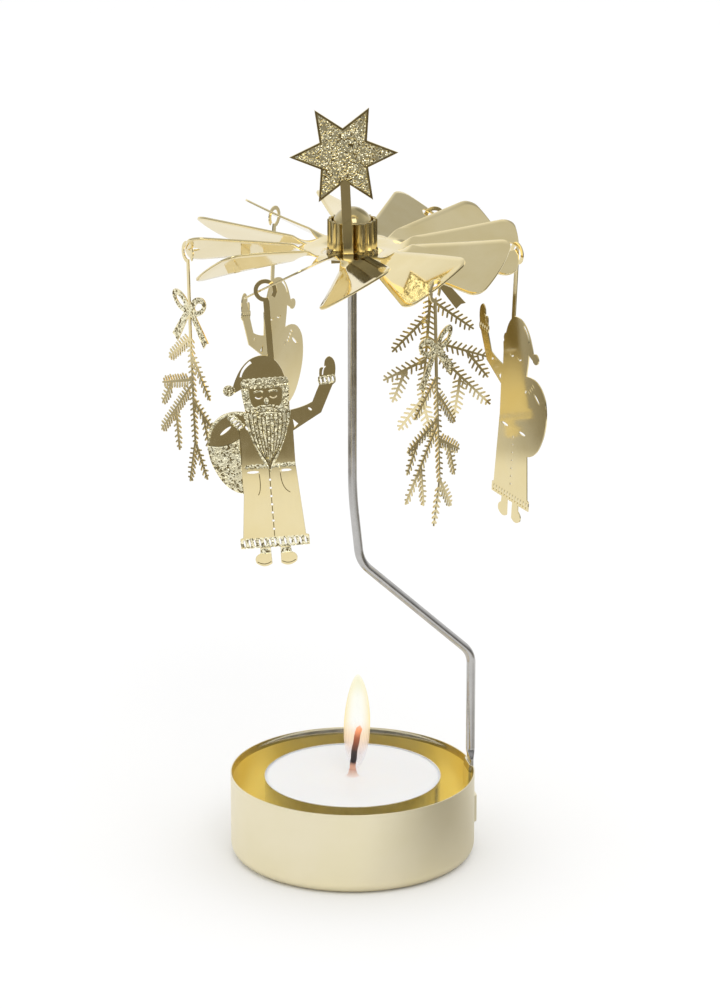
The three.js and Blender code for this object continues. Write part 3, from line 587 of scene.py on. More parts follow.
class Tree:
    """Adds nodes to a node tree and joins their sockets by name."""

    def __init__(self, tree: bpy.types.NodeTree) -> None:
        """Keeps the tree."""
        self.tree = tree

    def feed(self, value: object, target: Socket) -> None:
        """Links a socket to the target, or sets the target to a value.

        Args:
            value: A socket, number, vector or colour.
            target: Input of a node.
        """
        if isinstance(value, Socket):
            self.tree.links.new(value, target)
        else:
            target.default_value = (*value, 1.0) if target.type == "RGBA" else value

    def fill(self, node: bpy.types.Node, **values: object) -> bpy.types.Node:
        """Sets a node's properties and feeds its inputs.

        Args:
            node: The node.
            values: Properties, or inputs by name with spaces written as underscores.

        Returns:
            The node.
        """
        for key, value in values.items():
            if hasattr(node, key):
                setattr(node, key, value)
            else:
                self.feed(value, node.inputs[key.replace("_", " ")])
        return node

    def add(self, kind: str, label: str = "", **values: object) -> bpy.types.Node:
        """Adds a node.

        Args:
            kind: Node type.
            label: Label of the node.
            values: Properties and inputs, as for fill.

        Returns:
            The node.
        """
        node = self.tree.nodes.new(kind)
        node.label = label
        return self.fill(node, **values)

    def feed_row(
        self, node: bpy.types.Node, values: tuple, places: tuple[int, ...] = (0, 1, 2)
    ) -> bpy.types.Node:
        """Feeds inputs of a node by place.

        Args:
            node: The node.
            values: Sockets, numbers, vectors or colours.
            places: Place of the input that each value goes to.

        Returns:
            The node.
        """
        for value, place in zip(values, places):
            self.feed(value, node.inputs[place])
        return node

    def place(self) -> Socket:
        """Place on the piece in metres."""
        return self.add("ShaderNodeTexCoord").outputs["Object"]

    def trace(self, name: str) -> Socket:
        """A vector that the piece's own points carry."""
        return self.add("ShaderNodeAttribute", attribute_name=name).outputs["Vector"]

    def blend(self, factor: Socket, first: object, second: object) -> Socket:
        """A colour mix; each side is a colour or a socket."""
        node = self.add("ShaderNodeMix", data_type="RGBA")
        return self.feed_row(node, (factor, first, second), (0, 6, 7)).outputs[2]

    def between(self, factor: Socket, first: object, second: object) -> Socket:
        """A value mix; each side is a number or a socket."""
        node = self.add("ShaderNodeMix", data_type="FLOAT")
        return self.feed_row(node, (factor, first, second), (0, 2, 3)).outputs[0]

    def work(self, operation: str, *values: object) -> Socket:
        """Values, each a number or a socket, put together by a math operation."""
        node = self.add("ShaderNodeMath", operation=operation)
        return self.feed_row(node, values).outputs["Value"]

    def vector(self, operation: str, *values: object, result: str = "Vector") -> Socket:
        """Vectors put together by an operation, whose result is a Vector or a Value."""
        node = self.add("ShaderNodeVectorMath", operation=operation)
        return self.feed_row(node, values).outputs[result]

    def split(self, vector: Socket) -> tuple[Socket, ...]:
        """The three parts of a vector."""
        return tuple(self.add("ShaderNodeSeparateXYZ", Vector=vector).outputs)

    def spread(
        self, source: Socket, low: object, high: object, start: float = 0.0, end: float = 1.0
    ) -> Socket:
        """A value mapped from start..end to low..high, kept within them."""
        spans = {"From_Min": start, "From_Max": end, "To_Min": low, "To_Max": high}
        return self.add("ShaderNodeMapRange", Value=source, **spans).outputs["Result"]

    def noise(
        self, label: str, place: Socket, scale: object, detail: float, rough: float = 0.5
    ) -> Socket:
        """Strength of a noise at a place."""
        values = {"Vector": place, "Scale": scale, "Detail": detail, "Roughness": rough}
        return self.add("ShaderNodeTexNoise", label, **values).outputs["Fac"]

    def bump(self, height: Socket, strength: float, distance: float) -> Socket:
        """Normal of a surface raised by a height, over a distance in millimetres."""
        values = {"Height": height, "Strength": strength, "Distance": distance * MM}
        return self.add("ShaderNodeBump", **values).outputs["Normal"]

    def ramp(self, label: str, source: Socket, stops: tuple) -> Socket:
        """A colour ramp.

        Args:
            label: Label of the node.
            source: Socket that runs along the ramp.
            stops: Pairs of place and display colour, or of place and grey value.

        Returns:
            The colour's socket.
        """
        node = self.add("ShaderNodeValToRGB", label, Fac=source)
        elements = node.color_ramp.elements
        while len(elements) < len(stops):
            elements.new(1.0)
        for element, (place, tone) in zip(elements, stops):
            colour = shown(*tone) if isinstance(tone, tuple) else (tone,) * 3
            element.position, element.color = place, (*colour, 1.0)
        return node.outputs["Color"]


def new_material(name: str) -> tuple[Material, Tree, bpy.types.Node]:
    """A material with its tree and its Principled shader.

    Args:
        name: Name of the material.

    Returns:
        The material, the tree and the shader's node.
    """
    material = bpy.data.materials.new(name)
    material.use_nodes = True
    return material, Tree(material.node_tree), material.node_tree.nodes["Principled BSDF"]


@cache
def sheet_metal_group() -> bpy.types.NodeTree:
    """Shared group for metal: soft clouds in colour and roughness, grain and slow waves in height.

    Returns:
        The node group, made once.
    """
    group = bpy.data.node_groups.new("sheet_metal", "ShaderNodeTree")
    vectors, colours = ("Place", "Grain Scale"), ("Colour", "Cloud Colour")
    values = ("Smooth", "Worn", "Cloud Scale", "Grain Share")
    sockets = (
        ("INPUT", "NodeSocketVector", vectors),
        ("INPUT", "NodeSocketColor", colours),
        ("INPUT", "NodeSocketFloat", values),
        ("OUTPUT", "NodeSocketColor", ("Colour",)),
        ("OUTPUT", "NodeSocketFloat", ("Roughness", "Height")),
    )
    for side, kind, names in sockets:
        for name in names:
            group.interface.new_socket(name, in_out=side, socket_type=kind)
    tree = Tree(group)
    given = tree.add("NodeGroupInput").outputs
    clouds = tree.noise("clouds", given["Place"], given["Cloud Scale"], detail=3.0, rough=0.55)
    ease = tree.add("ShaderNodeMapRange", "soft clouds", interpolation_type="SMOOTHSTEP")
    low, high = CLOUD_SPAN
    soft = tree.fill(ease, Value=clouds, From_Min=low, From_Max=high).outputs["Result"]
    stretched = tree.vector("MULTIPLY", given["Place"], given["Grain Scale"])
    grain = tree.noise("grain", stretched, 1.0, detail=4.0, rough=0.7)
    worn = tree.work("MULTIPLY", soft, grain)
    tree.add(
        "NodeGroupOutput",
        Colour=tree.blend(soft, given["Colour"], given["Cloud Colour"]),
        Roughness=tree.spread(worn, given["Smooth"], given["Worn"], *WORN_SPAN),
        Height=tree.between(given["Grain Share"], clouds, grain),
    )
    return group


@dataclass(frozen=True)
class MetalFinish:
    """A metal's colour, gloss and grain. Lengths are in millimetres."""

    name: str
    colour: Colour
    cloud_colour: Colour
    smooth: float
    worn: float
    cloud: float
    grain: Triple
    grain_share: float
    bump: float
    trace: str = ""
    bump_depth: float = 0.02

    @cache
    def material(self) -> Material:
        """The finish as a material, made once.

        Returns:
            A metal whose colour, roughness and bump come from the shared group.
        """
        material, tree, shader = new_material(self.name)
        metal = tree.add(
            "ShaderNodeGroup",
            "sheet metal",
            node_tree=sheet_metal_group(),
            Place=tree.trace(self.trace) if self.trace else tree.place(),
            Colour=self.colour,
            Cloud_Colour=self.cloud_colour,
            Smooth=self.smooth,
            Worn=self.worn,
            Cloud_Scale=1.0 / (self.cloud * MM),
            Grain_Scale=tuple(1.0 / (g * MM) for g in self.grain),
            Grain_Share=self.grain_share,
        ).outputs
        tree.fill(
            shader,
            Base_Color=metal["Colour"],
            Roughness=metal["Roughness"],
            Normal=tree.bump(metal["Height"], self.bump, self.bump_depth),
            Metallic=1.0,
        )
        return material


POLISHED_GOLD = MetalFinish(
    "polished_gold", (0.81, 0.685, 0.375), (0.85, 0.735, 0.44),
    smooth=0.04, worn=0.10, cloud=9.0, grain=(0.5, 0.5, 4.0), grain_share=0.3, bump=0.10,
)
# Stippled finish, its gold painted paler and brighter than the plate's as painted glints on the
# facets
STIPPLED_GOLD_PAINTED_GLINTS = MetalFinish(
    "stippled_gold_painted_glints", (1.0, 0.92, 0.62), (1.0, 0.96, 0.72),
    smooth=0.15, worn=0.26, cloud=2.0, grain=(0.3, 0.3, 0.3), grain_share=0.6, bump=0.25,
)
ETCHED_GOLD = MetalFinish(
    "etched_gold", (0.20, 0.15, 0.06), (0.30, 0.235, 0.11),
    smooth=0.38, worn=0.55, cloud=1.5, grain=(0.2, 0.2, 0.2), grain_share=0.7, bump=0.3,
)
HUB_GOLD = MetalFinish(
    "hub_gold", (0.46, 0.38, 0.19), (0.52, 0.44, 0.25),
    smooth=0.10, worn=0.18, cloud=5.0, grain=(0.5, 0.5, 6.0), grain_share=0.3, bump=0.08,
)
SATIN_GOLD = MetalFinish(
    "satin_gold", (0.84, 0.77, 0.545), (0.87, 0.80, 0.595),
    smooth=0.29, worn=0.37, cloud=14.0, grain=(3.0, 3.0, 0.6), grain_share=0.5, bump=0.02,
)
# Inside of the tray: the satin gold painted brighter and more golden, painted light gathered in the
# bowl
INNER_GOLD_PAINTED_LIGHT = MetalFinish(
    "inner_gold_painted_light", (0.99, 0.88, 0.50), (1.0, 0.91, 0.56),
    smooth=0.29, worn=0.36, cloud=8.0, grain=(3.0, 3.0, 0.6), grain_share=0.5, bump=0.02,
)
BRIGHT_STEEL = MetalFinish(
    "bright_steel", (0.48, 0.47, 0.46), (0.56, 0.55, 0.54), trace="straight",
    smooth=0.15, worn=0.26, cloud=3.0, grain=(0.10, 0.10, 9.0), grain_share=0.7, bump=0.35,
)
TEALIGHT_FOIL = MetalFinish(
    "tealight_foil", (0.74, 0.74, 0.74), (0.82, 0.82, 0.81),
    smooth=0.14, worn=0.26, cloud=2.5, grain=(0.8, 0.8, 1.6), grain_share=0.4, bump=0.12,
)
RIM_GOLD = MetalFinish(
    "rim_gold", (0.66, 0.60, 0.44), (0.76, 0.71, 0.56),
    smooth=0.08, worn=0.20, cloud=5.0, grain=(3.0, 3.0, 0.4), grain_share=0.4, bump=0.5,
)
PLATE_GOLD = (POLISHED_GOLD, STIPPLED_GOLD_PAINTED_GLINTS, ETCHED_GOLD)


def metals(*finishes: MetalFinish) -> list[Material]:
    """Materials of metal finishes; a gold plate's are in the order of Dress."""
    return [finish.material() for finish in finishes]


@dataclass(frozen=True)
class WaxFinish:
    """White paraffin: soft, with a faintly glossier pool round the wick and a glow at its foot."""

    name: str = "candle_wax"
    colour: Colour = (0.86, 0.86, 0.86)
    pool_colour: Colour = (0.88, 0.875, 0.865)
    glow_colour: Colour = (0.86, 0.50, 0.36)
    glow: Span = (0.75, 1.5)
    pool: Span = (5.4, 11.7)
    gloss: Span = (0.34, 0.42)
    bloom: float = 3.5
    bloom_gloss: float = 0.2
    bloom_bump: float = 0.25
    bloom_depth: float = 0.05
    specular: float = 0.25
    inner_light: float = 0.45
    inner_reach: float = 1.2
    inner_colour: Colour = (1.0, 0.85, 0.7)

    def material(self) -> Material:
        """The finish as a material.

        Returns:
            Wax whose tone and gloss change with the distance from the wick.
        """
        material, tree, shader = new_material(self.name)
        place = tree.place()
        flat = tree.vector("MULTIPLY", place, (1.0, 1.0, 0.0))
        reach = tree.vector("LENGTH", flat, result="Value")
        outer = tree.spread(reach, 0.0, 1.0, *metres(self.pool))
        glow = tree.spread(reach, 1.0, 0.0, *metres(self.glow))
        bloom = tree.noise("bloom", place, 1.0 / (self.bloom * MM), detail=4.0, rough=0.6)
        pale = tree.blend(outer, self.pool_colour, self.colour)
        dry = tree.spread(outer, *self.gloss)
        tree.fill(
            shader,
            Base_Color=tree.blend(glow, pale, self.glow_colour),
            Roughness=tree.work("MULTIPLY_ADD", bloom, self.bloom_gloss, dry),
            Normal=tree.bump(bloom, self.bloom_bump, self.bloom_depth),
            Specular_IOR_Level=self.specular,
            Subsurface_Weight=self.inner_light,
            Subsurface_Radius=self.inner_colour,
            Subsurface_Scale=self.inner_reach * MM,
        )
        return material


@dataclass(frozen=True)
class WickFinish:
    """Burning cotton, by height: waxed foot in painted glow, char, brown coal and a glowing tip.

    Colours are display colours by height.
    """

    foot: float
    top: float
    name: str = "wick_cotton"
    fibre: float = 0.35
    ragged: float = 0.12
    roughness: Span = (0.7, 0.95)
    bump: float = 0.6
    bump_depth: float = 0.06
    # The first two stops paint the flame's peach glow on the waxed foot
    coat: tuple = (
        (0.0, (236, 190, 165)), (0.21, (212, 160, 135)), (0.28, (32, 23, 20)),
        (0.48, (28, 18, 14)), (0.63, (95, 45, 22)), (1.0, (165, 80, 35)),
    )
    ember: tuple = ((0.5, (0, 0, 0)), (0.78, (110, 40, 12)), (0.95, (240, 130, 45)))

    def material(self) -> Material:
        """The finish as a material.

        Returns:
            Cotton whose burnt bands have edges made ragged by its fibres.
        """
        material, tree, shader = new_material(self.name)
        place = tree.place()
        fibre = tree.noise("fibres", place, 1.0 / (self.fibre * MM), detail=5.0, rough=0.7)
        share = tree.spread(tree.split(place)[2], 0.0, 1.0, *metres((self.foot, self.top)))
        height = tree.work("MULTIPLY_ADD", tree.spread(fibre, -0.5, 0.5), self.ragged, share)
        tree.fill(
            shader,
            Base_Color=tree.ramp("burnt cotton", height, self.coat),
            Emission_Color=tree.ramp("ember", height, self.ember),
            Emission_Strength=1.0,
            Roughness=tree.spread(fibre, *self.roughness),
            Normal=tree.bump(fibre, self.bump, self.bump_depth),
        )
        return material


@dataclass(frozen=True)
class FlameFinish:
    """Candle flame: thin glowing skins, lilac at the foot, peach round the wick, pale yellow above.

    Colours are display colours by height; near and far are the cover of the skins' two sides by
    height, so that the wick shows in front of the glow behind it.
    """

    foot: float
    top: float
    name: str = "candle_flame"
    outer: tuple = (
        (0.0, (206, 202, 216)), (0.16, (222, 212, 216)), (0.32, (250, 222, 190)),
        (0.5, (255, 232, 160)), (1.0, (248, 240, 184)),
    )
    inner: tuple = (
        (0.0, (214, 210, 220)), (0.18, (236, 216, 208)), (0.34, (252, 228, 196)),
        (0.5, (255, 255, 250)), (0.78, (255, 255, 244)), (1.0, (248, 244, 196)),
    )
    near: tuple = ((0.0, 0.05), (0.34, 0.07), (0.46, 0.2), (0.58, 1.0), (1.0, 1.0))
    far: tuple = ((0.0, 0.5), (0.14, 0.9), (0.30, 2.4), (0.5, 2.4), (1.0, 1.0))
    core_slant: Span = (0.2, 0.7)
    edge_slant: Span = (0.2, 0.9)
    edge_cover: Span = (0.35, 1.2)

    def material(self) -> Material:
        """The finish as a material.

        Returns:
            A glow whose opacity and depth, skin by skin, come from the trace named skin.
        """
        material, tree, shader = new_material(self.name)
        share = tree.spread(tree.split(tree.place())[2], 0.0, 1.0, *metres((self.foot, self.top)))
        opacity, depth, _ = tree.split(tree.trace("skin"))
        edge = tree.ramp("outer skin", share, self.outer)
        core = tree.ramp("inner skin", share, self.inner)
        near = tree.ramp("near side", share, self.near)
        far = tree.ramp("far side", share, self.far)
        slant = tree.add("ShaderNodeLayerWeight", Blend=0.5).outputs["Facing"]
        core_share = tree.work("MAXIMUM", depth, tree.spread(slant, 1.0, 0.0, *self.core_slant))
        behind = tree.add("ShaderNodeNewGeometry").outputs["Backfacing"]
        cover = tree.work("MULTIPLY", tree.blend(behind, near, far), opacity)
        rim = tree.spread(slant, *self.edge_cover, *self.edge_slant)
        tree.fill(
            shader,
            Emission_Color=tree.blend(core_share, edge, core),
            Emission_Strength=1.0,
            Alpha=tree.work("MULTIPLY", cover, rim),
            Base_Color=(0.0, 0.0, 0.0),
            Specular_IOR_Level=0.0,
            Roughness=1.0,
        )
        return material


def soften_edges(obj: bpy.types.Object, width: float, segments: int, angle_deg: float) -> None:
    """Bevels the sharp edges of a piece.

    Args:
        obj: The piece.
        width: Width of the bevel.
        segments: Steps across the bevel.
        angle_deg: Edges that turn by more than this are bevelled.
    """
    edge = obj.modifiers.new("edge", "BEVEL")
    edge.width, edge.segments = width * MM, segments
    edge.limit_method, edge.angle_limit = "ANGLE", math.radians(angle_deg)


def install(obj: bpy.types.Object, body: str, node: str) -> None:
    """Puts a finished piece on its body, in place of its CAD node.

    Args:
        obj: The piece.
        body: CAD body that it rides on.
        node: CAD node that it stands for.
    """
    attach(obj, body)
    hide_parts(node)
    LOG.info("%s on %s: %d faces", obj.name, body, len(obj.data.polygons))


# Tray and wire


@dataclass
class Tray:
    """Drawn tray with a clip cut into its wall: a strap pressed out below a band pressed in."""

    radius: float = 26.0
    height: float = 18.0
    sheet: float = 0.5
    corner: float = 2.5
    first_ring: float = 0.6
    rim_band: float = 1.5
    rim_sheet: float = 0.22
    clip_half_deg: float = 7.5
    clip_flat: float = 2.2
    clip_push: float = 0.71
    strap_bottom: float = 5.1
    strap_top: float = 11.1
    slit: float = 0.3
    edge: float = 0.05
    edge_deg: float = 50.0
    columns: int = 216
    clip_columns: int = 24

    def profile(self, inset: float) -> np.ndarray:
        """Radius and height of one side of the sheet from the floor's middle to the rim.

        The inside flares below the rim: its radius eases out until the sheet is as thin as the rim.

        Args:
            inset: 0 for the outside, the sheet's thickness for the inside.

        Returns:
            Array of shape (n, 2), with the same heights on the wall for both sides.
        """
        knee, flare = self.radius - self.corner, self.height - self.rim_band
        floor = np.linspace(self.first_ring, knee, 10)
        bend = arc((knee, self.corner), self.corner - inset, np.linspace(-QUARTER, 0.0, 9)[1:])
        runs = (
            np.linspace(self.corner, self.strap_bottom - self.slit, 4)[1:],
            np.linspace(self.strap_bottom, self.strap_top, 7),
            np.linspace(self.strap_top + self.slit, flare, 6),
            np.linspace(flare, self.height, 5)[1:],
        )
        wall = np.concatenate(runs)
        thin = smoothstep((wall - flare) / self.rim_band) if inset else np.zeros(len(wall))
        upright = pairs(self.radius - inset + (inset - self.rim_sheet) * thin, wall)
        return np.vstack([pairs(floor, inset), bend, upright])

    def skin(self, inset: float) -> np.ndarray:
        """One side of the sheet: its profile carried round Z, with the clip's bands eased in.

        Args:
            inset: 0 for the outside, the sheet's thickness for the inside.

        Returns:
            Grid of points of shape (rows, columns, 3).
        """
        half = math.radians(self.clip_half_deg)
        clip = np.linspace(-half, half, self.clip_columns + 1)
        angle = np.concatenate([clip, np.linspace(half, 2 * np.pi - half, self.columns)[1:-1]])
        profile = self.profile(inset)
        r, z = profile[:, :1], profile[:, 1:]
        x, y = r * np.cos(angle), r * np.sin(angle)
        edge = self.radius * math.sin(half)
        in_clip = (np.arange(len(angle)) <= self.clip_columns)[None, :]
        ease = smoothstep((edge - np.abs(y)) / (edge - self.clip_flat)) * in_clip
        strap = (z >= self.strap_bottom - NEAR) & (z <= self.strap_top + NEAR)
        band = z >= self.strap_top + self.slit - NEAR
        push = np.where(strap, self.clip_push, np.where(band, -self.clip_push, 0.0))
        x = x + ease * np.where(push == 0.0, 0.0, r + push - x)
        return np.stack([x, y, np.broadcast_to(z, x.shape)], axis=-1)

    def surface(self) -> Surface:
        """The closed sheet: both skins without the slits' quads, joined along every open edge.

        Returns:
            The tray: satin outside, golden inside brightened by painted light, bright band below
                the rim.
        """
        outer, inner = self.skin(0.0), self.skin(self.sheet)
        rows, columns = outer.shape[:2]
        quads = Surface.grid(outer, wrap_columns=True).faces
        heights = self.profile(0.0)[:, 1]
        level = heights[quads[:, 0] // columns]
        slits = (self.strap_bottom - self.slit, self.strap_top)
        cut = np.isclose(level[:, None], slits).any(axis=1)
        kept = ~(cut & (quads[:, 0] % columns < self.clip_columns))
        quads, level = quads[kept], level[kept]
        middle = rows * columns
        floor = fan(np.arange(columns), middle)[:, [1, 0, 2, 3]]
        sides = [quads[:, [i, (i + 1) % 4]] for i in range(4)]
        a, b = open_sides(np.vstack([*sides, floor[:, :2]])).T
        count = middle + 1
        faces = [
            quads,
            floor,
            quads[:, ::-1] + count,
            triangles(floor[:, 2::-1] + count),
            np.column_stack([b, a, a + count, b + count]),
        ]
        bright = level >= self.height - self.rim_band - NEAR
        finish = [
            np.full(len(quads) + columns, int(TraySide.OUTSIDE)),
            np.where(bright, int(TraySide.RIM), int(TraySide.INSIDE)),
            np.full(columns, int(TraySide.INSIDE)),
            np.full(len(a), int(TraySide.OUTSIDE)),
        ]
        middles = ([NO_SHIFT], [(0.0, 0.0, self.sheet)])
        points = [outer.reshape(-1, 3), middles[0], inner.reshape(-1, 3), middles[1]]
        return Surface.of(np.vstack(points), np.vstack(faces), np.concatenate(finish))

    def build(self) -> None:
        """Makes the tray and puts it on the base."""
        obj = self.surface().write("tray", metals(SATIN_GOLD, INNER_GOLD_PAINTED_LIGHT, RIM_GOLD))
        soften_edges(obj, self.edge, 2, self.edge_deg)
        install(obj, "base", "cup")


@dataclass
class WireStand:
    """Bent wire: a needle point, a slight lean, two bends and a flattened tongue in the clip."""

    radius: float = 0.95
    foot_x: float = 25.75
    lean_corner: float = 80.0
    upper_x: float = 1.6
    upper_corner: float = 64.8
    lower_corner: float = 42.7
    lean_bend: float = 90.0
    upper_bend: float = 7.0
    lower_bend: float = 5.0
    shoulder: float = 136.25
    tip: float = 141.25
    needle_flat: float = 0.12
    tongue_top: float = 21.2
    tongue_full: float = 18.5
    tongue_foot: float = 5.1
    tongue_half: float = 1.6
    tongue_thick: float = 0.4
    tongue_corner: float = 0.8
    tongue_square: float = 5.0
    sides: int = 28
    sharp_deg: float = 50.0

    def path(self) -> np.ndarray:
        """Centreline from the needle's tip down to the tongue's foot.

        Each bend is an arc that touches both straight runs of its corner.

        Returns:
            Points in X and Z, shape (n, 2).
        """
        x = (0.0, 0.0, self.upper_x, self.foot_x, self.foot_x)
        z = (self.shoulder, self.lean_corner, self.upper_corner, self.lower_corner, self.tongue_top)
        corners = pairs(x, z)
        runs = [pairs(0.0, np.linspace(self.tip, self.shoulder, 10))]
        for i, bend in enumerate((self.lean_bend, self.upper_bend, self.lower_bend), 1):
            back, ahead = corners[i - 1] - corners[i], corners[i + 1] - corners[i]
            back, ahead = back / np.linalg.norm(back), ahead / np.linalg.norm(ahead)
            half = math.acos(float(back @ ahead)) / 2.0
            middle = (back + ahead) / np.linalg.norm(back + ahead)
            start = back * bend / math.tan(half) - middle * bend / math.sin(half)
            way = math.copysign(1.0, back[0] * ahead[1] - back[1] * ahead[0])
            sweep = np.linspace(0.0, -way * (np.pi - 2.0 * half), 40)
            centre = corners[i] + middle * bend / math.sin(half)
            runs.append(arc(centre, bend, math.atan2(start[1], start[0]) + sweep))
        rounding = self.tongue_corner * (1.0 - np.sin(np.linspace(0.0, QUARTER, 8))[1:])
        fall = np.linspace(self.tongue_top, self.tongue_full, 12)
        flat = np.linspace(self.tongue_full, self.tongue_foot + self.tongue_corner, 8)[1:]
        heights = np.concatenate([fall, flat, self.tongue_foot + rounding])
        runs.append(pairs(self.foot_x, heights))
        return np.vstack(runs)

    def sections(self, path: np.ndarray) -> tuple[np.ndarray, np.ndarray, np.ndarray]:
        """Half width, half thickness and squareness of the bar along its path.

        Args:
            path: Points of the centreline.

        Returns:
            Three arrays of shape (n, 1).
        """
        z, corner = path[:, 1:], self.tongue_corner
        needle = np.clip((self.tip - z) / (self.tip - self.shoulder), 0.0, 1.0)
        bar = self.needle_flat + (self.radius - self.needle_flat) * needle
        low = smoothstep((self.tongue_top - z) / (self.tongue_top - self.tongue_full))
        rise = np.clip(z - self.tongue_foot, 0.0, corner)
        trim = corner - np.sqrt(np.maximum(corner**2 - (corner - rise) ** 2, 0.0))
        wide = bar + (self.tongue_half - bar) * low - np.where(low >= 1.0, trim, 0.0)
        return wide, bar + (self.tongue_thick - bar) * low, 2.0 + self.tongue_square * low

    def surface(self) -> Surface:
        """A superellipse carried along the path.

        Returns:
            The bar, with the straightened bar's coordinates as a trace.
        """
        path = self.path()
        wide, thick, square = self.sections(path)
        run = headings(path)
        c, s = np.cos(full_turn(self.sides)), np.sin(full_turn(self.sides))
        across = wide * np.sign(c) * np.abs(c) ** (2.0 / square)
        through = thick * np.sign(s) * np.abs(s) ** (2.0 / square)
        x = path[:, :1] - through * run[:, 1:]
        z = path[:, 1:] + through * run[:, :1]
        bar = Surface.grid(np.stack([x, across, z], axis=-1), wrap_columns=True)
        steps = np.linalg.norm(np.diff(path, axis=0), axis=1)
        length = np.concatenate([[0.0], np.cumsum(steps)])[:, None]
        straight = np.stack(np.broadcast_arrays(across, through, length), axis=-1)
        bar.traces["straight"] = straight.reshape(-1, 3) * MM
        return bar.capped(self.sides)

    def build(self) -> None:
        """Makes the wire and puts it on the base."""
        bar = self.surface().write("wire_bar", metals(BRIGHT_STEEL), self.sharp_deg)
        install(bar, "base", "wire_stand")


# Tealight


@dataclass
class Tealight:
    """Foil shell, wax, sustainer, braided wick and flame."""

    floor: float = 0.52
    rim: float = 17.0
    radius: float = 18.7
    sheet: float = 0.14
    corner: float = 1.6
    lip: float = 0.07
    first_ring: float = 0.5
    lip_turn: float = 0.4
    inner_start: float = 1.0
    segments: int = 160
    wax_floor: float = 0.84
    wax_lift: float = 0.05
    wax_top: float = 16.92
    wax_gap: float = 0.01
    meniscus: float = 0.16
    meniscus_width: float = 0.9
    pool_depth: float = 0.30
    pool_start: float = 5.0
    pool_width: float = 8.0
    climb: float = 2.2
    climb_width: float = 0.26
    climb_start: float = 1.4
    recess_gap: float = 0.2
    recess_edge: float = 0.5
    recess_height: float = 4.0
    wax_sharp_deg: float = 50.0
    wick_radius: float = 0.69
    wick_gap: float = 0.08
    wick_top: float = 27.97
    wick_lean: float = 1.6
    wick_strands: int = 3
    wick_lay: float = 3.4
    wick_swell: float = 0.07
    wick_end: float = 0.7
    wick_tip: float = 0.25
    wick_lift: float = 0.2
    wick_pull: float = 0.45
    wick_sides: int = 30
    wick_sharp_deg: float = 80.0
    sustainer: float = 6.0
    sustainer_sides: int = 60
    disc_edge: float = 0.3
    disc_rise: Point = (1.3, 0.34)
    collar: float = 0.75
    collar_foot: Point = (1.02, 0.6)
    collar_top: Point = (1.0, 3.0)
    flame_foot: float = 18.2
    flame_top: float = 39.6
    flame_half: float = 2.78
    flame_belly: float = 0.45
    flame_stand: float = 0.75
    flame_sway: float = 0.4
    sway_height: float = 20.0
    flame_pole: float = 0.03
    flame_rows: int = 48
    flame_sides: int = 40
    flame_sharp_deg: float = 180.0
    skins: int = 7
    skin_thin: float = 0.72
    skin_short: float = 0.24
    skin_lift: float = 0.12
    skin_cover: float = 0.36
    skin_gain: float = 0.3
    skin_power: float = 0.4

    def shell_profile(self) -> np.ndarray:
        """Section of the foil shell with a rolled lip, from its outer to its inner middle.

        Returns:
            Radius and height, shape (n, 2).
        """
        knee = (self.radius - self.corner, self.floor + self.corner)
        inner_radius = self.radius - self.sheet
        lip, roll = (self.radius, self.rim - self.lip), np.linspace(-QUARTER, 1.5 * QUARTER, 12)
        runs = (
            [[self.first_ring, self.floor]],
            arc(knee, self.corner, np.linspace(-QUARTER, 0.0, 8)),
            arc(lip, self.lip, roll),
            [[inner_radius, self.rim - self.lip * self.lip_turn]],
            [[inner_radius, self.floor + self.corner + self.inner_start]],
            arc(knee, self.corner - self.sheet, np.linspace(0.0, -QUARTER, 8)),
            [[self.first_ring, self.floor + self.sheet]],
        )
        return np.vstack(runs)

    def wax_profile(self) -> np.ndarray:
        """Closed section of the wax: meniscus at the wall, shallow pool and a climb at the wick.

        Returns:
            Radius and height, shape (n, 2), the last point being the first.
        """
        edge = self.radius - self.sheet - self.wax_gap
        bore, foot = self.wick_radius + self.wick_gap, self.wax_floor + self.wax_lift
        turns = (edge, edge - self.corner, self.climb_start, bore)
        runs = [np.linspace(*turns[i : i + 2], n)[1:] for i, n in enumerate((12, 30, 8))]
        r = np.concatenate([[edge], *runs])
        band = self.meniscus_width
        shoulder = self.meniscus * smoothstep((r - edge + band) / band) ** 2
        pool = self.pool_depth * (1.0 - smoothstep((r - self.pool_start) / self.pool_width))
        climb = self.climb * np.exp(-(r - self.wick_radius) / self.climb_width)
        top = pairs(r, self.wax_top - shoulder - pool + climb)
        hollow = self.sustainer + self.recess_gap
        side = [[hollow, foot], [edge - self.corner, foot], [edge, foot + self.corner]]
        recess = [[bore, foot + self.recess_height], [hollow, foot + self.recess_edge]]
        return np.vstack([side, top, recess, side[:1]])

    def disc_profile(self) -> np.ndarray:
        """Closed section of the sustainer: a flat disc that turns up into a collar.

        Returns:
            Radius and height, shape (n, 2), the last point being the first.
        """
        bore, wide, top = self.collar, self.sustainer, self.collar_top
        disc = [(bore, 0.0), (wide, 0.0), (wide, self.disc_edge), self.disc_rise]
        collar = [self.collar_foot, top, (bore, top[1])]
        return np.array([*disc, *collar, disc[0]]) + (0.0, self.wax_floor)

    def wick_line(self) -> np.ndarray:
        """Centreline of the wick: straight in the wax, then bending towards +X.

        Returns:
            Points in X and Z, shape (n, 2).
        """
        surface = self.wax_top
        straight = pairs(0.0, np.linspace(self.wax_floor + self.wick_lift, surface, 8))
        pull = (0.0, surface + self.wick_pull * (self.wick_top - surface))
        free = bent_line((0.0, surface), pull, (self.wick_lean, self.wick_top), 60)
        return np.vstack([straight[:-1], free])

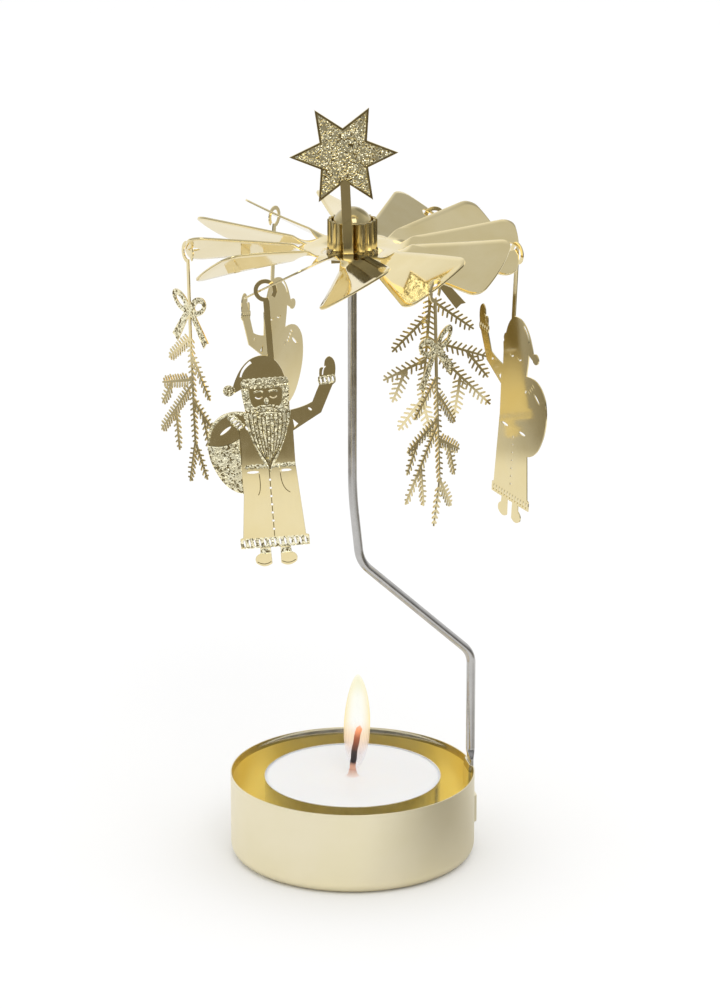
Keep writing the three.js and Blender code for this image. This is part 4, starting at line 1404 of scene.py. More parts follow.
    def wick(self) -> Surface:
        """Laid strands carried along the wick: the radius swells in waves that turn with height.

        Returns:
            The wick.
        """
        path, angle = self.wick_line(), full_turn(self.wick_sides)
        z, run = path[:, 1:], headings(path)
        lobes = np.cos(self.wick_strands * angle + 2.0 * np.pi * z / self.wick_lay)
        end = smoothstep((self.wick_top - z) / self.wick_end)
        end = end * (1.0 - self.wick_tip) + self.wick_tip
        r = self.wick_radius * end * (1.0 - self.wick_swell + self.wick_swell * lobes)
        out = r * np.cos(angle)
        x = path[:, :1] + out * run[:, 1:]
        points = np.stack([x, r * np.sin(angle), z - out * run[:, :1]], axis=-1)
        return Surface.grid(points, wrap_columns=True).capped(self.wick_sides)

    def flame(self) -> Surface:
        """Nested drops: r = half (1 - u^1.9)^0.62 above the belly, half (1 - u^2.2)^0.65 below it.

        Here u is the distance from the belly as a share of the flame on that side.

        Returns:
            The skins as one surface, with opacity and depth in the trace named skin.
        """
        turn = np.linspace(self.flame_pole, np.pi - self.flame_pole, self.flame_rows)
        t = (0.5 - 0.5 * np.cos(turn))[:, None]
        above = np.clip((t - self.flame_belly) / (1.0 - self.flame_belly), 0.0, 1.0)
        below = np.clip((self.flame_belly - t) / self.flame_belly, 0.0, 1.0)
        swell = (1.0 - above**1.9) ** 0.62 * (1.0 - below**2.2) ** 0.65
        tall = self.flame_top - self.flame_foot
        pieces = []
        for depth in np.arange(self.skins) / (self.skins - 1):
            foot = self.flame_foot + self.skin_lift * tall * depth
            z = foot + tall * (1.0 - self.skin_short * depth) * t
            r = self.flame_half * (1.0 - self.skin_thin * depth) * swell
            sway = smoothstep((z - self.flame_foot) / self.sway_height)
            lean = self.flame_stand + self.flame_sway * sway
            points = carried_round(r, z, full_turn(self.flame_sides), lean)
            skin = Surface.grid(points, wrap_columns=True)
            trace = [self.skin_cover + self.skin_gain * depth, depth**self.skin_power, 0.0]
            skin.traces["skin"] = np.broadcast_to(trace, skin.points.shape)
            pieces.append(skin.capped(self.flame_sides))
        return Surface.together(pieces)

    def build(self) -> None:
        """Makes the tealight's pieces and puts them on its body."""
        shell = revolve(self.shell_profile(), self.segments).capped(self.segments)
        wax = revolve(self.wax_profile(), self.segments)
        disc = revolve(self.disc_profile(), self.sustainer_sides)
        cotton = WickFinish(self.wax_top, self.wick_top).material()
        paraffin, foil = WaxFinish().material(), TEALIGHT_FOIL.material()
        pieces = (
            (shell, "foil_shell", foil, SHARP_DEG, "tealight_cup", "tealight_foil"),
            (wax, "wax", paraffin, self.wax_sharp_deg, "tealight_wax", "candle_wax"),
            (disc, "sustainer", foil, SHARP_DEG, "wick_sustainer", "tealight_foil"),
            (self.wick(), "braided_wick", cotton, self.wick_sharp_deg, "wick", "wick_cotton"),
        )
        for surface, name, finish, sharp_deg, node, slot in pieces:
            install(surface.write(name, [finish], sharp_deg), "tealight", node)
        glow = FlameFinish(self.flame_foot, self.flame_top).material()
        flame = self.flame().write("flame", [glow], self.flame_sharp_deg)
        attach(flame, "tealight")
        LOG.info("flame: %d skins", self.skins)


# Rotor


@dataclass
class VaneWheel:
    """Wheel of twelve vanes cut from one sheet, twisted at the roots; every second is pierced."""

    height: float = 133.0
    sheet: float = 0.4
    radius: float = 34.3
    vanes: int = 12
    twist_deg: float = 30.0
    root: float = 9.4
    twist_length: float = 3.4
    slit: float = 0.3
    corner: float = 2.6
    bore: float = 4.3
    hole: float = 1.2
    hole_edge: float = 0.55
    slot: Point = (-0.9, -5.4)
    slot_half: Point = (1.18, 0.38)
    across: int = 17
    rings: int = 9
    ring_power: float = 1.6
    bore_sides: int = 72
    flex: float = 0.22
    spread_deg: float = 1.1
    edge: float = 0.05
    edge_deg: float = 60.0
    seed: int = 3

    def half_width(self, x: np.ndarray | float) -> np.ndarray | float:
        """Half of a vane's width at a distance from the axis."""
        return x * math.tan(math.pi / self.vanes) - self.slit / 2.0

    def cross_line(self, x: float) -> np.ndarray:
        """Points across a vane at a distance from the axis, towards -Y."""
        y = self.half_width(x) * np.linspace(1.0, -1.0, self.across)
        return pairs(x, y)

    def outline(self) -> np.ndarray:
        """A flat vane beyond its twist, along +X, with straight sides and a rounded tip.

        Returns:
            Closed outline, counter-clockwise.
        """
        start, middle = self.root + self.twist_length, self.radius - self.corner
        share = math.pi / self.vanes
        lean = share - math.asin((self.corner + self.slit / 2.0) / middle)
        centre = (middle * math.cos(lean), -middle * math.sin(lean))
        corner = arc(centre, self.corner, np.linspace(-QUARTER - share, -lean, 12))
        tip = arc((0.0, 0.0), self.radius, np.linspace(-lean, lean, 16)[1:-1])
        side = np.linspace(start, corner[0, 0], 18)[1:-1]
        half = np.vstack([pairs(side, -self.half_width(side)), corner])
        return np.vstack([self.cross_line(start), half, tip, (half * (1.0, -1.0))[::-1]])

    def blade(self, pierced: bool, extra_deg: float, flex: float) -> Surface:
        """One vane along +X: a grid from its outline in to the hole's edge, and the twisted root.

        Args:
            pierced: Whether the hanging hole is open.
            extra_deg: Twist beyond the wheel's own, in degrees.
            flex: Height of the vane's slight bow.

        Returns:
            The vane's middle surface.
        """
        outline = self.outline()
        centre = np.array([self.radius - self.hole_edge - self.hole, 0.0])
        away = outline - centre
        rim = centre + self.hole * away / np.linalg.norm(away, axis=1)[:, None]
        share = np.linspace(0.0, 1.0, self.rings)[:, None, None] ** self.ring_power
        flat = rim + share * (outline - rim)
        start = self.root + self.twist_length
        root = np.stack([self.cross_line(x) for x in np.linspace(self.root, start, self.rings)])
        pieces = [Surface.grid(laid_flat(flat), wrap_columns=True), Surface.grid(laid_flat(root))]
        if not pierced:
            cover = fan(np.arange(len(rim)), len(rim))[:, [1, 0, 2, 3]]
            pieces.append(Surface.of(laid_flat(np.vstack([rim, centre])), cover))
        blade = Surface.together(pieces)
        x, y = blade.points[:, 0], blade.points[:, 1]
        eased = smoothstep((x - self.root) / self.twist_length)
        twist = math.radians(self.twist_deg + extra_deg) * eased
        along = np.clip((x - start) / (centre[0] - start), 0.0, 1.0)
        lift = flex * np.sin(np.pi * along)
        c, s = np.cos(twist), np.sin(twist)
        blade.points = np.column_stack([x, y * c - lift * s, y * s + lift * c])
        return blade

    def hub(self) -> Surface:
        """The flat middle: a plate with a side for each vane, the bore and the star's slot.

        Returns:
            The middle surface.
        """
        root = self.cross_line(self.root)[::-1]
        outline = np.vstack([turn_flat(root, turn) for turn in full_turn(self.vanes)])
        sign = np.array([[-1, -1], [1, -1], [1, 1], [-1, 1]])
        slot = np.array(self.slot) + sign * self.slot_half
        cut = FlatCut.make([outline], [circle((0.0, 0.0), self.bore, self.bore_sides), slot])
        return Surface.of(laid_flat(cut.points), triangles(cut.triangles))

    def build(self) -> None:
        """Makes the wheel and puts it on the rotor."""
        draw = np.random.default_rng(self.seed).uniform(-1.0, 1.0, (self.vanes, 2))
        pieces = [self.hub()]
        for i, (turn, (extra, bow)) in enumerate(zip(full_turn(self.vanes), draw)):
            blade = self.blade(i % 2 == 0, self.spread_deg * extra, self.flex * bow)
            pieces.append(blade.moved(turn))
        wheel = Surface.together(pieces).moved(ROTOR_TURN, (0.0, 0.0, self.height))
        obj = wheel.write("vane_sheet", metals(POLISHED_GOLD), self.edge_deg)
        wall = obj.modifiers.new("sheet", "SOLIDIFY")
        wall.thickness, wall.offset = self.sheet * MM, 0.0
        soften_edges(obj, self.edge, 1, self.edge_deg)
        install(obj, "rotor", "vane_wheel")


@dataclass
class Hub:
    """Domed bearing thimble with a bead below the wheel, and the fluted crown round it."""

    wheel_top: float = 133.2
    wheel_under: float = 132.8
    radius: float = 4.2
    sheet: float = 0.4
    top: float = 8.5
    bead: float = 0.65
    bead_height: float = 1.7
    mouth: float = 0.15
    seat: float = 0.02
    pole: float = 0.03
    segments: int = 96
    crown_middle: float = 4.72
    crown_height: float = 6.0
    crown_sheet: float = 0.3
    flutes: int = 18
    flute_depth: float = 0.54
    flute_steps: int = 16
    flute_power: float = 0.9
    crown_sharp_deg: float = 60.0

    def thimble(self) -> Surface:
        """Section of the thimble carried round Z: dome, wall, rolled bead and the same way back.

        Returns:
            The closed thimble.
        """
        spring = (0.0, self.wheel_top + self.top - self.radius)
        inner, half = self.radius - self.sheet, self.bead_height / 2.0
        seat = self.wheel_under - self.seat
        foot = seat - self.bead_height
        dome = np.linspace(QUARTER - self.pole, 0.0, 24)
        roll = np.linspace(QUARTER, -QUARTER, 14)
        runs = (
            arc(spring, self.radius, dome),
            [[self.radius, seat]],
            arc((self.radius + self.bead - half, foot + half), half, roll),
            [[inner + self.mouth, foot], [inner, foot + self.mouth]],
            arc(spring, inner, dome)[::-1],
        )
        return revolve(np.vstack(runs), self.segments).capped(self.segments)

    def crown(self) -> Surface:
        """A rounded strip carried round Z, its radius falling between ridges by a power of |sin|.

        Returns:
            The closed crown.
        """
        angle = full_turn(self.flutes * self.flute_steps)[:, None]
        groove = np.abs(np.sin(self.flutes * angle / 2.0)) ** self.flute_power
        half, bottom = self.crown_sheet / 2.0, self.wheel_top + self.seat
        top = bottom + self.crown_height
        lip = arc((0.0, top - half), half, np.linspace(0.0, np.pi, 7))
        side = pairs(half, np.linspace(bottom, top - 2.0 * half, 6))
        section = np.vstack([side, lip, (side * (-1.0, 1.0))[::-1]])
        r = self.crown_middle + self.flute_depth * (0.5 - groove) + section[:, 0]
        points = carried_round(r, section[:, 1], angle)
        return Surface.grid(points, wrap_rows=True, wrap_columns=True)

    def build(self) -> None:
        """Makes the hub's pieces and puts them on the rotor."""
        pieces = (
            (self.thimble(), "thimble", SHARP_DEG, "bearing_thimble"),
            (self.crown(), "crown", self.crown_sharp_deg, "hub_crown"),
        )
        for surface, name, sharp_deg, node in pieces:
            obj = surface.moved(ROTOR_TURN).write(name, metals(HUB_GOLD), sharp_deg)
            install(obj, "rotor", node)


@dataclass
class Star:
    """Six-pointed star on a flat stem hooked through the wheel, stippled inside a dark border."""

    radius: float = 11.1
    notch: float = 0.503
    points: int = 6
    centre: float = 20.75
    sheet: float = 0.4
    lean_deg: float = 2.5
    stem: float = 2.0
    stem_peak: float = 0.45
    stem_shoulder: float = 0.35
    place: Triple = (-0.9, -5.4, 133.2)
    hook_top: float = -0.9
    hook_foot: float = -1.9
    foot_reach: float = 2.6
    border: float = 0.43
    chamfer: float = 0.04
    stipple: Stipple = Stipple(depth=0.15, standing=0.74, seed=11)

    def star(self, inset: float) -> np.ndarray:
        """Outline of the star with its edges moved in.

        All its edges lie at one distance from its middle, so moving them in scales the outline.

        Args:
            inset: How far the edges move in.

        Returns:
            Closed outline, counter-clockwise.
        """
        count = 2 * self.points
        r = self.radius * np.where(np.arange(count) % 2 == 0, 1.0, self.notch)
        (x, y), inner = arc((0.0, 0.0), r[:, None], full_turn(count))[:2]
        edge = inner - (x, y)
        reach = abs(x * edge[1] - y * edge[0]) / float(np.hypot(*edge))
        scale = (reach - inset) / reach
        return arc((0.0, self.centre), scale * r[:, None], full_turn(count))

    def foot(self) -> np.ndarray:
        """Outline of the stem, from its pointed top to the foot that hooks under the wheel.

        Returns:
            Closed outline.
        """
        half, notch = self.stem / 2.0, self.centre - self.notch * self.radius
        corners = (
            (half, self.hook_foot),
            (half, notch - self.stem_shoulder),
            (0.0, notch + self.stem_peak),
            (-half, notch - self.stem_shoulder),
            (-half, self.hook_top),
            (-half - self.foot_reach, self.hook_top),
            (-half - self.foot_reach, self.hook_foot),
        )
        return np.array(corners)

    def build(self) -> None:
        """Makes the star and puts it on the rotor."""
        star, area, stem = self.star(0.0), self.star(self.border), self.foot()
        specks, depth = self.stipple.specks([area])
        clear = ~inside(specks, stem)
        dressed = [(star, Dress.ETCHED), (area, Dress.STIPPLED), (stem, Dress.POLISHED)]
        cut = FlatCut.make([star, stem], [], dressed, specks[clear])
        plate = cut.plate(self.sheet, self.chamfer, depth[clear])
        plate = plate.moved(math.radians(self.lean_deg), self.place, (0, 2)).moved(ROTOR_TURN)
        obj = plate.write("star", metals(*PLATE_GOLD), PLATE_SHARP_DEG)
        install(obj, "rotor", "star_finial")


# Hanging plates


@dataclass
class HangingPlate:
    """Flat plates of one kind, each on an open hook and placed by the frame's own swing joint."""

    piece: str = ""
    node: str = ""
    hang_deg: float = 0.0
    top: float = 0.0
    stem_width: float = 1.0
    stem_lap: float = 1.6
    sheet: float = 0.28
    chamfer: float = 0.035
    hook_bore: float = 1.5
    hook_band: float = 0.85
    hook_start: float = math.radians(-72)
    hook_end: float = math.radians(-44)
    hook_steps: int = 72

    def hook(self) -> np.ndarray:
        """An open ring round the origin on a straight stem that laps the plate.

        Returns:
            Closed outline, counter-clockwise.
        """
        half, end = self.stem_width / 2.0, self.top - self.stem_lap
        outer = self.hook_bore + self.hook_band
        pen = Pen(half, end).line((half, -outer))
        middle, steps, end_turn = (0.0, 0.0), self.hook_steps, self.hook_end - 2.0 * np.pi
        pen.arc(middle, self.hook_bore, self.hook_start, end_turn, steps)
        pen.arc(middle, outer, self.hook_end, 1.5 * np.pi - math.asin(half / outer), steps)
        return pen.line((-half, end)).outline()

    def plate(self) -> Surface:
        """The plate, with its hook's centre at the origin."""
        raise NotImplementedError

    def build(self) -> None:
        """Makes the plate and hangs a copy at each of its three hooks, turned as it rests."""
        plate = self.plate().moved(math.radians(self.hang_deg), plane=(0, 2))
        for letter in "abc":
            node = f"{self.node}_{letter}"
            joint = next(j for j in frame["joints"] if j["name"] == node + "_swing")
            facing = math.atan2(joint["axis"][0], -joint["axis"][1])
            placed = plate.moved(facing, np.array(joint["pos_m"]) / MM)
            name = f"{self.piece}_{letter}"
            obj = placed.write(name, metals(*PLATE_GOLD), PLATE_SHARP_DEG)
            install(obj, node + "_plate", node)


@dataclass
class Figure(HangingPlate):
    """Bearded gift bringer in a long coat with a sack, one arm raised, cut and etched from sheet.

    The outlines are drawn round the figure's middle, beside its hook.
    """

    piece: str = "gift_bringer"
    node: str = "figure"
    hang_deg: float = 4.2039
    top: float = -13.4
    stem_width: float = 1.24
    stem_lap: float = 1.6
    hook_x: float = 1.7
    line_width: float = 0.17
    eyes: Span = (-1.4, 1.55)
    wave_steps: int = 8
    band_power: int = 14
    band_end: float = 0.02
    stipple: Stipple = Stipple()

    def scallops(
        self, start: Point, end: Point, depth: float, waves: int, width: float
    ) -> np.ndarray:
        """Outline of a fur band whose half width goes up and down as |sin| along its length.

        Args:
            start: Middle of the band's first end.
            end: Middle of its last end.
            depth: Depth of a wave.
            waves: Number of waves.
            width: Full width.

        Returns:
            Closed outline.
        """
        t = np.linspace(0.0, 1.0, waves * self.wave_steps + 1)
        wave = width / 2.0 - depth + depth * np.abs(np.sin(np.pi * waves * t))
        ends = np.sqrt(np.maximum(1.0 - (2.0 * t - 1.0) ** self.band_power, self.band_end))
        line = np.array(start) + t[:, None] * (np.array(end) - np.array(start))
        return strip(line, 2.0 * wave * ends)

    def body(self) -> np.ndarray:
        """Hat, sack, coat, boots and the raised arm.

        Returns:
            Closed outline, counter-clockwise.
        """
        pen = Pen(0.4, self.top).line((-0.4, self.top)).bend((-4.2, -13.6), (-6.4, -19.5), 20)
        pen.arc((-7.3, -20.3), 1.15, np.pi / 4, np.pi * 1.83)
        pen.line((-4.8, -20.2), (-4.7, -22.0), (-4.3, -25.0))
        pen.bend((-9.4, -23.8), (-11.8, -28.0)).bend((-13.4, -32.6), (-11.2, -37.2))
        pen.bend((-9.4, -41.4), (-6.0, -42.2))
        pen.line((-6.9, -51.6), (-7.5, -51.8), (-7.5, -53.9), (-3.6, -53.9), (-3.7, -55.2))
        pen.bend((-5.2, -55.8), (-4.6, -57.2)).bend((-3.0, -58.6), (-1.4, -57.4))
        pen.line((-1.5, -53.9), (0.5, -53.9), (0.4, -57.4))
        pen.bend((2.0, -58.6), (3.6, -57.2)).bend((4.2, -55.8), (2.7, -55.2))
        pen.line((2.6, -53.9), (6.5, -53.9), (6.5, -51.8))
        pen.line((5.9, -51.6), (4.9, -36.4), (5.0, -29.6), (10.9, -26.2), (13.6, -20.6))
        pen.line((14.1, -20.2), (14.3, -18.4))
        pen.bend((14.9, -15.2), (13.4, -14.6)).bend((12.2, -14.8), (12.2, -17.0))
        pen.bend((11.0, -16.2), (11.1, -18.6))
        pen.line((10.9, -20.4), (9.3, -23.8)).bend((7.4, -24.8), (4.6, -25.2))
        pen.line((4.7, -22.0), (4.9, -20.2), (4.4, -19.6)).bend((3.6, -14.0), (0.4, self.top), 20)
        return pen.outline()

    def beard(self) -> np.ndarray:
        """Hair and beard round the face.

        Returns:
            Closed outline, counter-clockwise.
        """
        pen = Pen(-4.85, -20.0).bend((-5.1, -25.5), (-4.2, -28.6))
        pen.bend((-3.0, -33.4), (-0.35, -38.0))
        pen.bend((2.6, -33.4), (4.0, -28.6)).bend((5.2, -25.5), (4.95, -20.0)).line((3.35, -20.0))
        pen.bend((3.5, -23.6), (2.5, -24.2)).bend((0.9, -23.4), (0.1, -24.0))
        pen.bend((-0.7, -23.4), (-2.3, -24.2))
        return pen.bend((-3.4, -23.6), (-3.2, -20.0)).outline()

    def fur(self) -> list[np.ndarray]:
        """Fur bands, whose waved edges stand out a little: brim, hem and cuffs.

        Returns:
            Closed outlines.
        """
        return [
            self.scallops((-4.8, -19.15), (4.85, -19.15), 0.2, 9, 2.3),
            self.scallops((-7.55, -52.85), (6.55, -52.85), 0.16, 15, 2.25),
            self.scallops((10.75, -19.65), (14.35, -19.25), 0.16, 4, 1.9),
            self.scallops((-7.6, -25.4), (-5.2, -28.4), 0.15, 4, 1.8),
        ]

    def stippled(self) -> list[np.ndarray]:
        """Stippled areas: beard, sack, strap, belt, fur, pompom, boot tops and small face shapes.

        Returns:
            Closed outlines.
        """
        sack = Pen(-13.4, -30.8).bend((-9.6, -32.8), (-6.0, -30.4))
        sack.line((-6.05, -42.6), (-9.4, -42.6), (-13.4, -38.0))
        boot = np.array([(-4.4, -55.3), (-1.0, -55.3), (-1.0, -54.1), (-4.4, -54.1)])
        brow = bent_line((-0.95, -21.05), (0.0, -20.5), (0.95, -21.05), 10)
        return [
            self.beard(),
            sack.outline(),
            strip(bent_line((-4.6, -25.4), (-9.3, -24.2), (-11.5, -28.2), 20), 0.6),
            strip(bent_line((-11.5, -28.2), (-12.2, -29.6), (-12.4, -31.4), 8), 0.6),
            self.scallops((-5.5, -36.6), (5.2, -36.6), 0.2, 10, 1.05),
            *self.fur(),
            circle((-7.3, -20.3), 1.3, 24),
            boot,
            boot + (4.4, 0.0),
            oval((0.07, -22.95), 0.95, 1.45, 0.0, 20),
            *(strip(brow + (eye, 0.0), 0.42) for eye in self.eyes),
        ]

    def openings(self) -> list[np.ndarray]:
        """Cuts through the sheet: pockets, buttons, fur slots, small shape cuts and closed eyes.

        Returns:
            Closed outlines.
        """
        lid = bent_line((-0.7, -22.0), (0.0, -22.75), (0.7, -22.0), 10)
        hat_edge = bent_line((-4.7, -17.6), (-4.3, -15.8), (-2.4, -14.6))
        cuffs = np.arange(4)
        return [
            oval((-3.8, -37.8), 2.5, 0.6, 0.0),
            oval((2.8, -37.8), 2.5, 0.6, 0.0),
            oval((-8.6, -28.6), 2.8, 0.6, 36.0),
            strip(hat_edge, np.linspace(0.35, 0.6, len(hat_edge))),
            np.array([(5.1, -27.2), (6.1, -28.2), (5.3, -28.9)]),
            oval((8.7, -25.3), 0.9, 0.45, -40.0),
            oval((-4.3, -28.4), 1.0, 0.45, -62.0),
            strip(bent_line((11.75, -18.4), (11.9, -16.9), (12.5, -16.6), 10), 0.24),
            *(circle((-0.5, -39.6 - 1.75 * i), 0.26, 16) for i in range(7)),
            *(oval((x, -52.85), 0.40, 1.55, 7.0, 18) for x in np.linspace(-6.7, 5.7, 13)),
            *(oval((11.35 + 0.8 * i, -19.6 + 0.09 * i), 0.36, 1.2, 6.0, 18) for i in cuffs),
            *(oval((-7.1 + 0.5 * i, -26.2 - 0.62 * i), 0.34, 1.05, -52.0, 18) for i in cuffs),
            *(strip(lid + (eye, 0.0), 0.24) for eye in self.eyes),
        ]

    def etched(self) -> list[np.ndarray]:
        """Etched lines: seam, pocket cords, sack, boots and beard strands.

        Returns:
            Closed outlines.
        """
        lines = [
            np.array([(-0.5, -37.3), (-0.5, -51.6)]),
            bent_line((-2.6, -38.2), (-2.3, -41.6), (-3.1, -42.7)),
            bent_line((1.7, -38.2), (1.7, -41.6), (3.4, -42.5)),
            bent_line((-6.0, -30.4), (-9.6, -32.8), (-12.9, -31.0)),
            bent_line((-6.0, -27.6), (-5.6, -33.0), (-6.0, -36.0)),
            bent_line((-4.4, -56.9), (-3.0, -57.9), (-1.6, -57.0)),
            bent_line((0.6, -57.0), (2.0, -57.9), (3.4, -56.9)),
        ]
        for x in np.linspace(-3.7, 3.8, 10):
            start, end = (x, -25.5 - 0.12 * (3.8 - abs(x))), (x * 0.12 - 0.3, -37.6 + 0.5 * abs(x))
            lines.append(bent_line(start, (x * 1.05, -31.0), end, 18))
        for side in (-1.0, 1.0):
            lines.append(bent_line((0.07, -24.2), (1.6 * side, -24.1), (3.0 * side, -25.6), 12))
            lines.append(bent_line((0.07, -25.1), (1.5 * side, -25.3), (3.0 * side, -25.6), 12))
        return [strip(line, self.line_width) for line in lines]

    def plate(self) -> Surface:
        """The figure with its hook.

        Returns:
            The plate, with its hook's centre at the origin.
        """
        sets = ([self.body(), *self.fur()], self.stippled(), self.etched(), self.openings())
        shift = (-self.hook_x, 0.0)
        solid, stippled, etched, openings = ([o + shift for o in outlines] for outlines in sets)
        dressed = [(outline, Dress.STIPPLED) for outline in stippled]
        dressed += [(outline, Dress.ETCHED) for outline in etched]
        specks, depth = self.stipple.specks(stippled)
        cut = FlatCut.make([self.hook(), *solid], openings, dressed, specks)
        return cut.plate(self.sheet, self.chamfer, depth)


@dataclass
class Sprig(HangingPlate):
    """Hanging fir sprig with needled twigs and a stippled bow."""

    piece: str = "fir_sprig"
    node: str = "sprig"
    hang_deg: float = 2.5515
    top: float = -17.0
    stem_width: float = 0.95
    stem_lap: float = 2.0
    half_width: float = 0.34
    taper: float = 0.35
    twigs: tuple[tuple[Point, Point], ...] = (
        ((0.0, -17.0), (0.6, -41.0)), ((0.6, -40.5), (-2.2, -49.4)),
        ((0.6, -40.2), (5.4, -47.4)), ((0.0, -18.0), (-9.6, -24.2)),
        ((0.0, -21.2), (7.6, -30.0)), ((0.2, -27.0), (-12.8, -30.2)),
        ((-8.2, -29.0), (-13.2, -34.8)), ((0.2, -28.0), (-14.0, -40.8)),
        ((-7.3, -34.6), (-6.4, -43.6)), ((0.3, -31.4), (9.2, -36.4)),
        ((4.4, -33.6), (7.0, -41.2)),
    )
    pitch: float = 1.14
    first_needle: float = 0.9
    last_needle: float = 0.98
    needle: float = 1.3
    needle_width: float = 0.44
    needle_lean: float = math.radians(28)
    needle_shape: tuple[tuple[float, ...], ...] = ((0.0, 0.45, 0.86, 1.0), (1.12, 0.98, 0.86, 0.5))
    needle_wave: float = 0.1
    wave_pace: float = 2.3
    end_share: float = 0.32
    end_growth: float = 0.27
    tip_trim: float = 0.08
    tip_share: float = 0.5
    bow: float = -12.4
    bow_tilt_deg: float = 22.0
    knot: float = 0.95
    knot_lift: float = 0.2
    loop: Point = (7.4, 3.8)
    loop_place: Point = (3.5, 1.5)
    eye: Point = (3.7, 1.4)
    eye_place: Point = (3.9, 1.5)
    tails: Span = (7.5, 6.9)
    tail_root: tuple[Point, ...] = ((-0.5, 0.0), (1.0, 0.67))
    tail_end: tuple[Point, ...] = ((5.6, 0.0), (6.6, 1.1), (7.6, 1.4))
    stipple: Stipple = Stipple(standing=0.6, seed=23)

    def twig(self, root: Point, end: Point) -> np.ndarray:
        """Outline of a tapering twig with blunt needles along both edges.

        A needle is a straight finger that leans forward: its middle line leaves the twig's edge at
        an angle from square, and its width falls a little towards a blunt end. Lengths differ by a
        slow sine and fall towards the twig's end.

        Args:
            root: Start of the twig on the plate.
            end: End of the twig.

        Returns:
            Closed outline, counter-clockwise.
        """
        run = np.array(end) - np.array(root)
        length = float(np.hypot(*run))
        count = int((length - self.first_needle) / self.pitch)
        foot = (length - self.last_needle - np.arange(count)[::-1] * self.pitch)[:, None]
        half = self.half_width * (1.0 - self.taper * foot / length)
        size = self.needle * (1.0 + self.needle_wave * np.sin(self.wave_pace * foot))
        size = size * np.minimum(1.0, self.end_share + self.end_growth * (length - foot))
        t, w = np.array(self.needle_shape) * [[1.0], [self.needle_width / 2.0]]
        ahead, out = math.sin(self.needle_lean), math.cos(self.needle_lean)
        x, y = foot + size * ahead * t, half + size * out * t
        back_edge = np.stack([x - w * out, y + w * ahead * (t > 0)], axis=-1)
        front_edge = np.stack([x + w * out, y - w * ahead * (t > 0)], axis=-1)[:, ::-1]
        needles = np.concatenate([back_edge, front_edge], axis=1).reshape(-1, 2)
        tip = self.half_width * (1.0 - self.taper)
        start = [[0.0, self.half_width]]
        stop = [[length - self.tip_trim, tip], [length, tip * self.tip_share]]
        left = np.vstack([start, needles, stop])
        outline = np.vstack([left, (left * (1.0, -1.0))[::-1]])
        along, side = run / length, np.array([-run[1], run[0]]) / length
        return counter_clockwise(np.array(root) + outline[:, :1] * along + outline[:, 1:] * side)

    def ribbon(self) -> tuple[list[np.ndarray], list[np.ndarray]]:
        """The bow: a knot, two loops with an eye and two tails with slanted ends.

        Returns:
            Outlines of the ribbons, and of the eyes cut in its loops.
        """
        middle = np.array([0.0, self.bow])
        solid, eyes = [circle(middle + (0.0, self.knot_lift), self.knot, 20)], []
        for way, tail in zip((-1.0, 1.0), self.tails):
            tilt, side = way * self.bow_tilt_deg, np.array([way, 1.0])
            solid.append(oval(middle + side * self.loop_place, *self.loop, tilt, 40))
            eyes.append(oval(middle + side * self.eye_place, *self.eye, tilt, 32))
            first, last = middle + side * self.tail_root
            end = middle - (0.0, tail) + side * self.tail_end
            solid.append(counter_clockwise(np.vstack([first, end, last])))
        return solid, eyes

    def plate(self) -> Surface:
        """The sprig with its bow and hook.

        Returns:
            The plate, with its hook's centre at the origin.
        """
        ribbons, eyes = self.ribbon()
        specks, depth = self.stipple.specks(ribbons)
        solid = [self.hook(), *(self.twig(*ends) for ends in self.twigs), *ribbons]
        dressed = [(ribbon, Dress.STIPPLED) for ribbon in ribbons]
        cut = FlatCut.make(solid, eyes, dressed, specks)
        return cut.plate(self.sheet, self.chamfer, depth)


# Stage


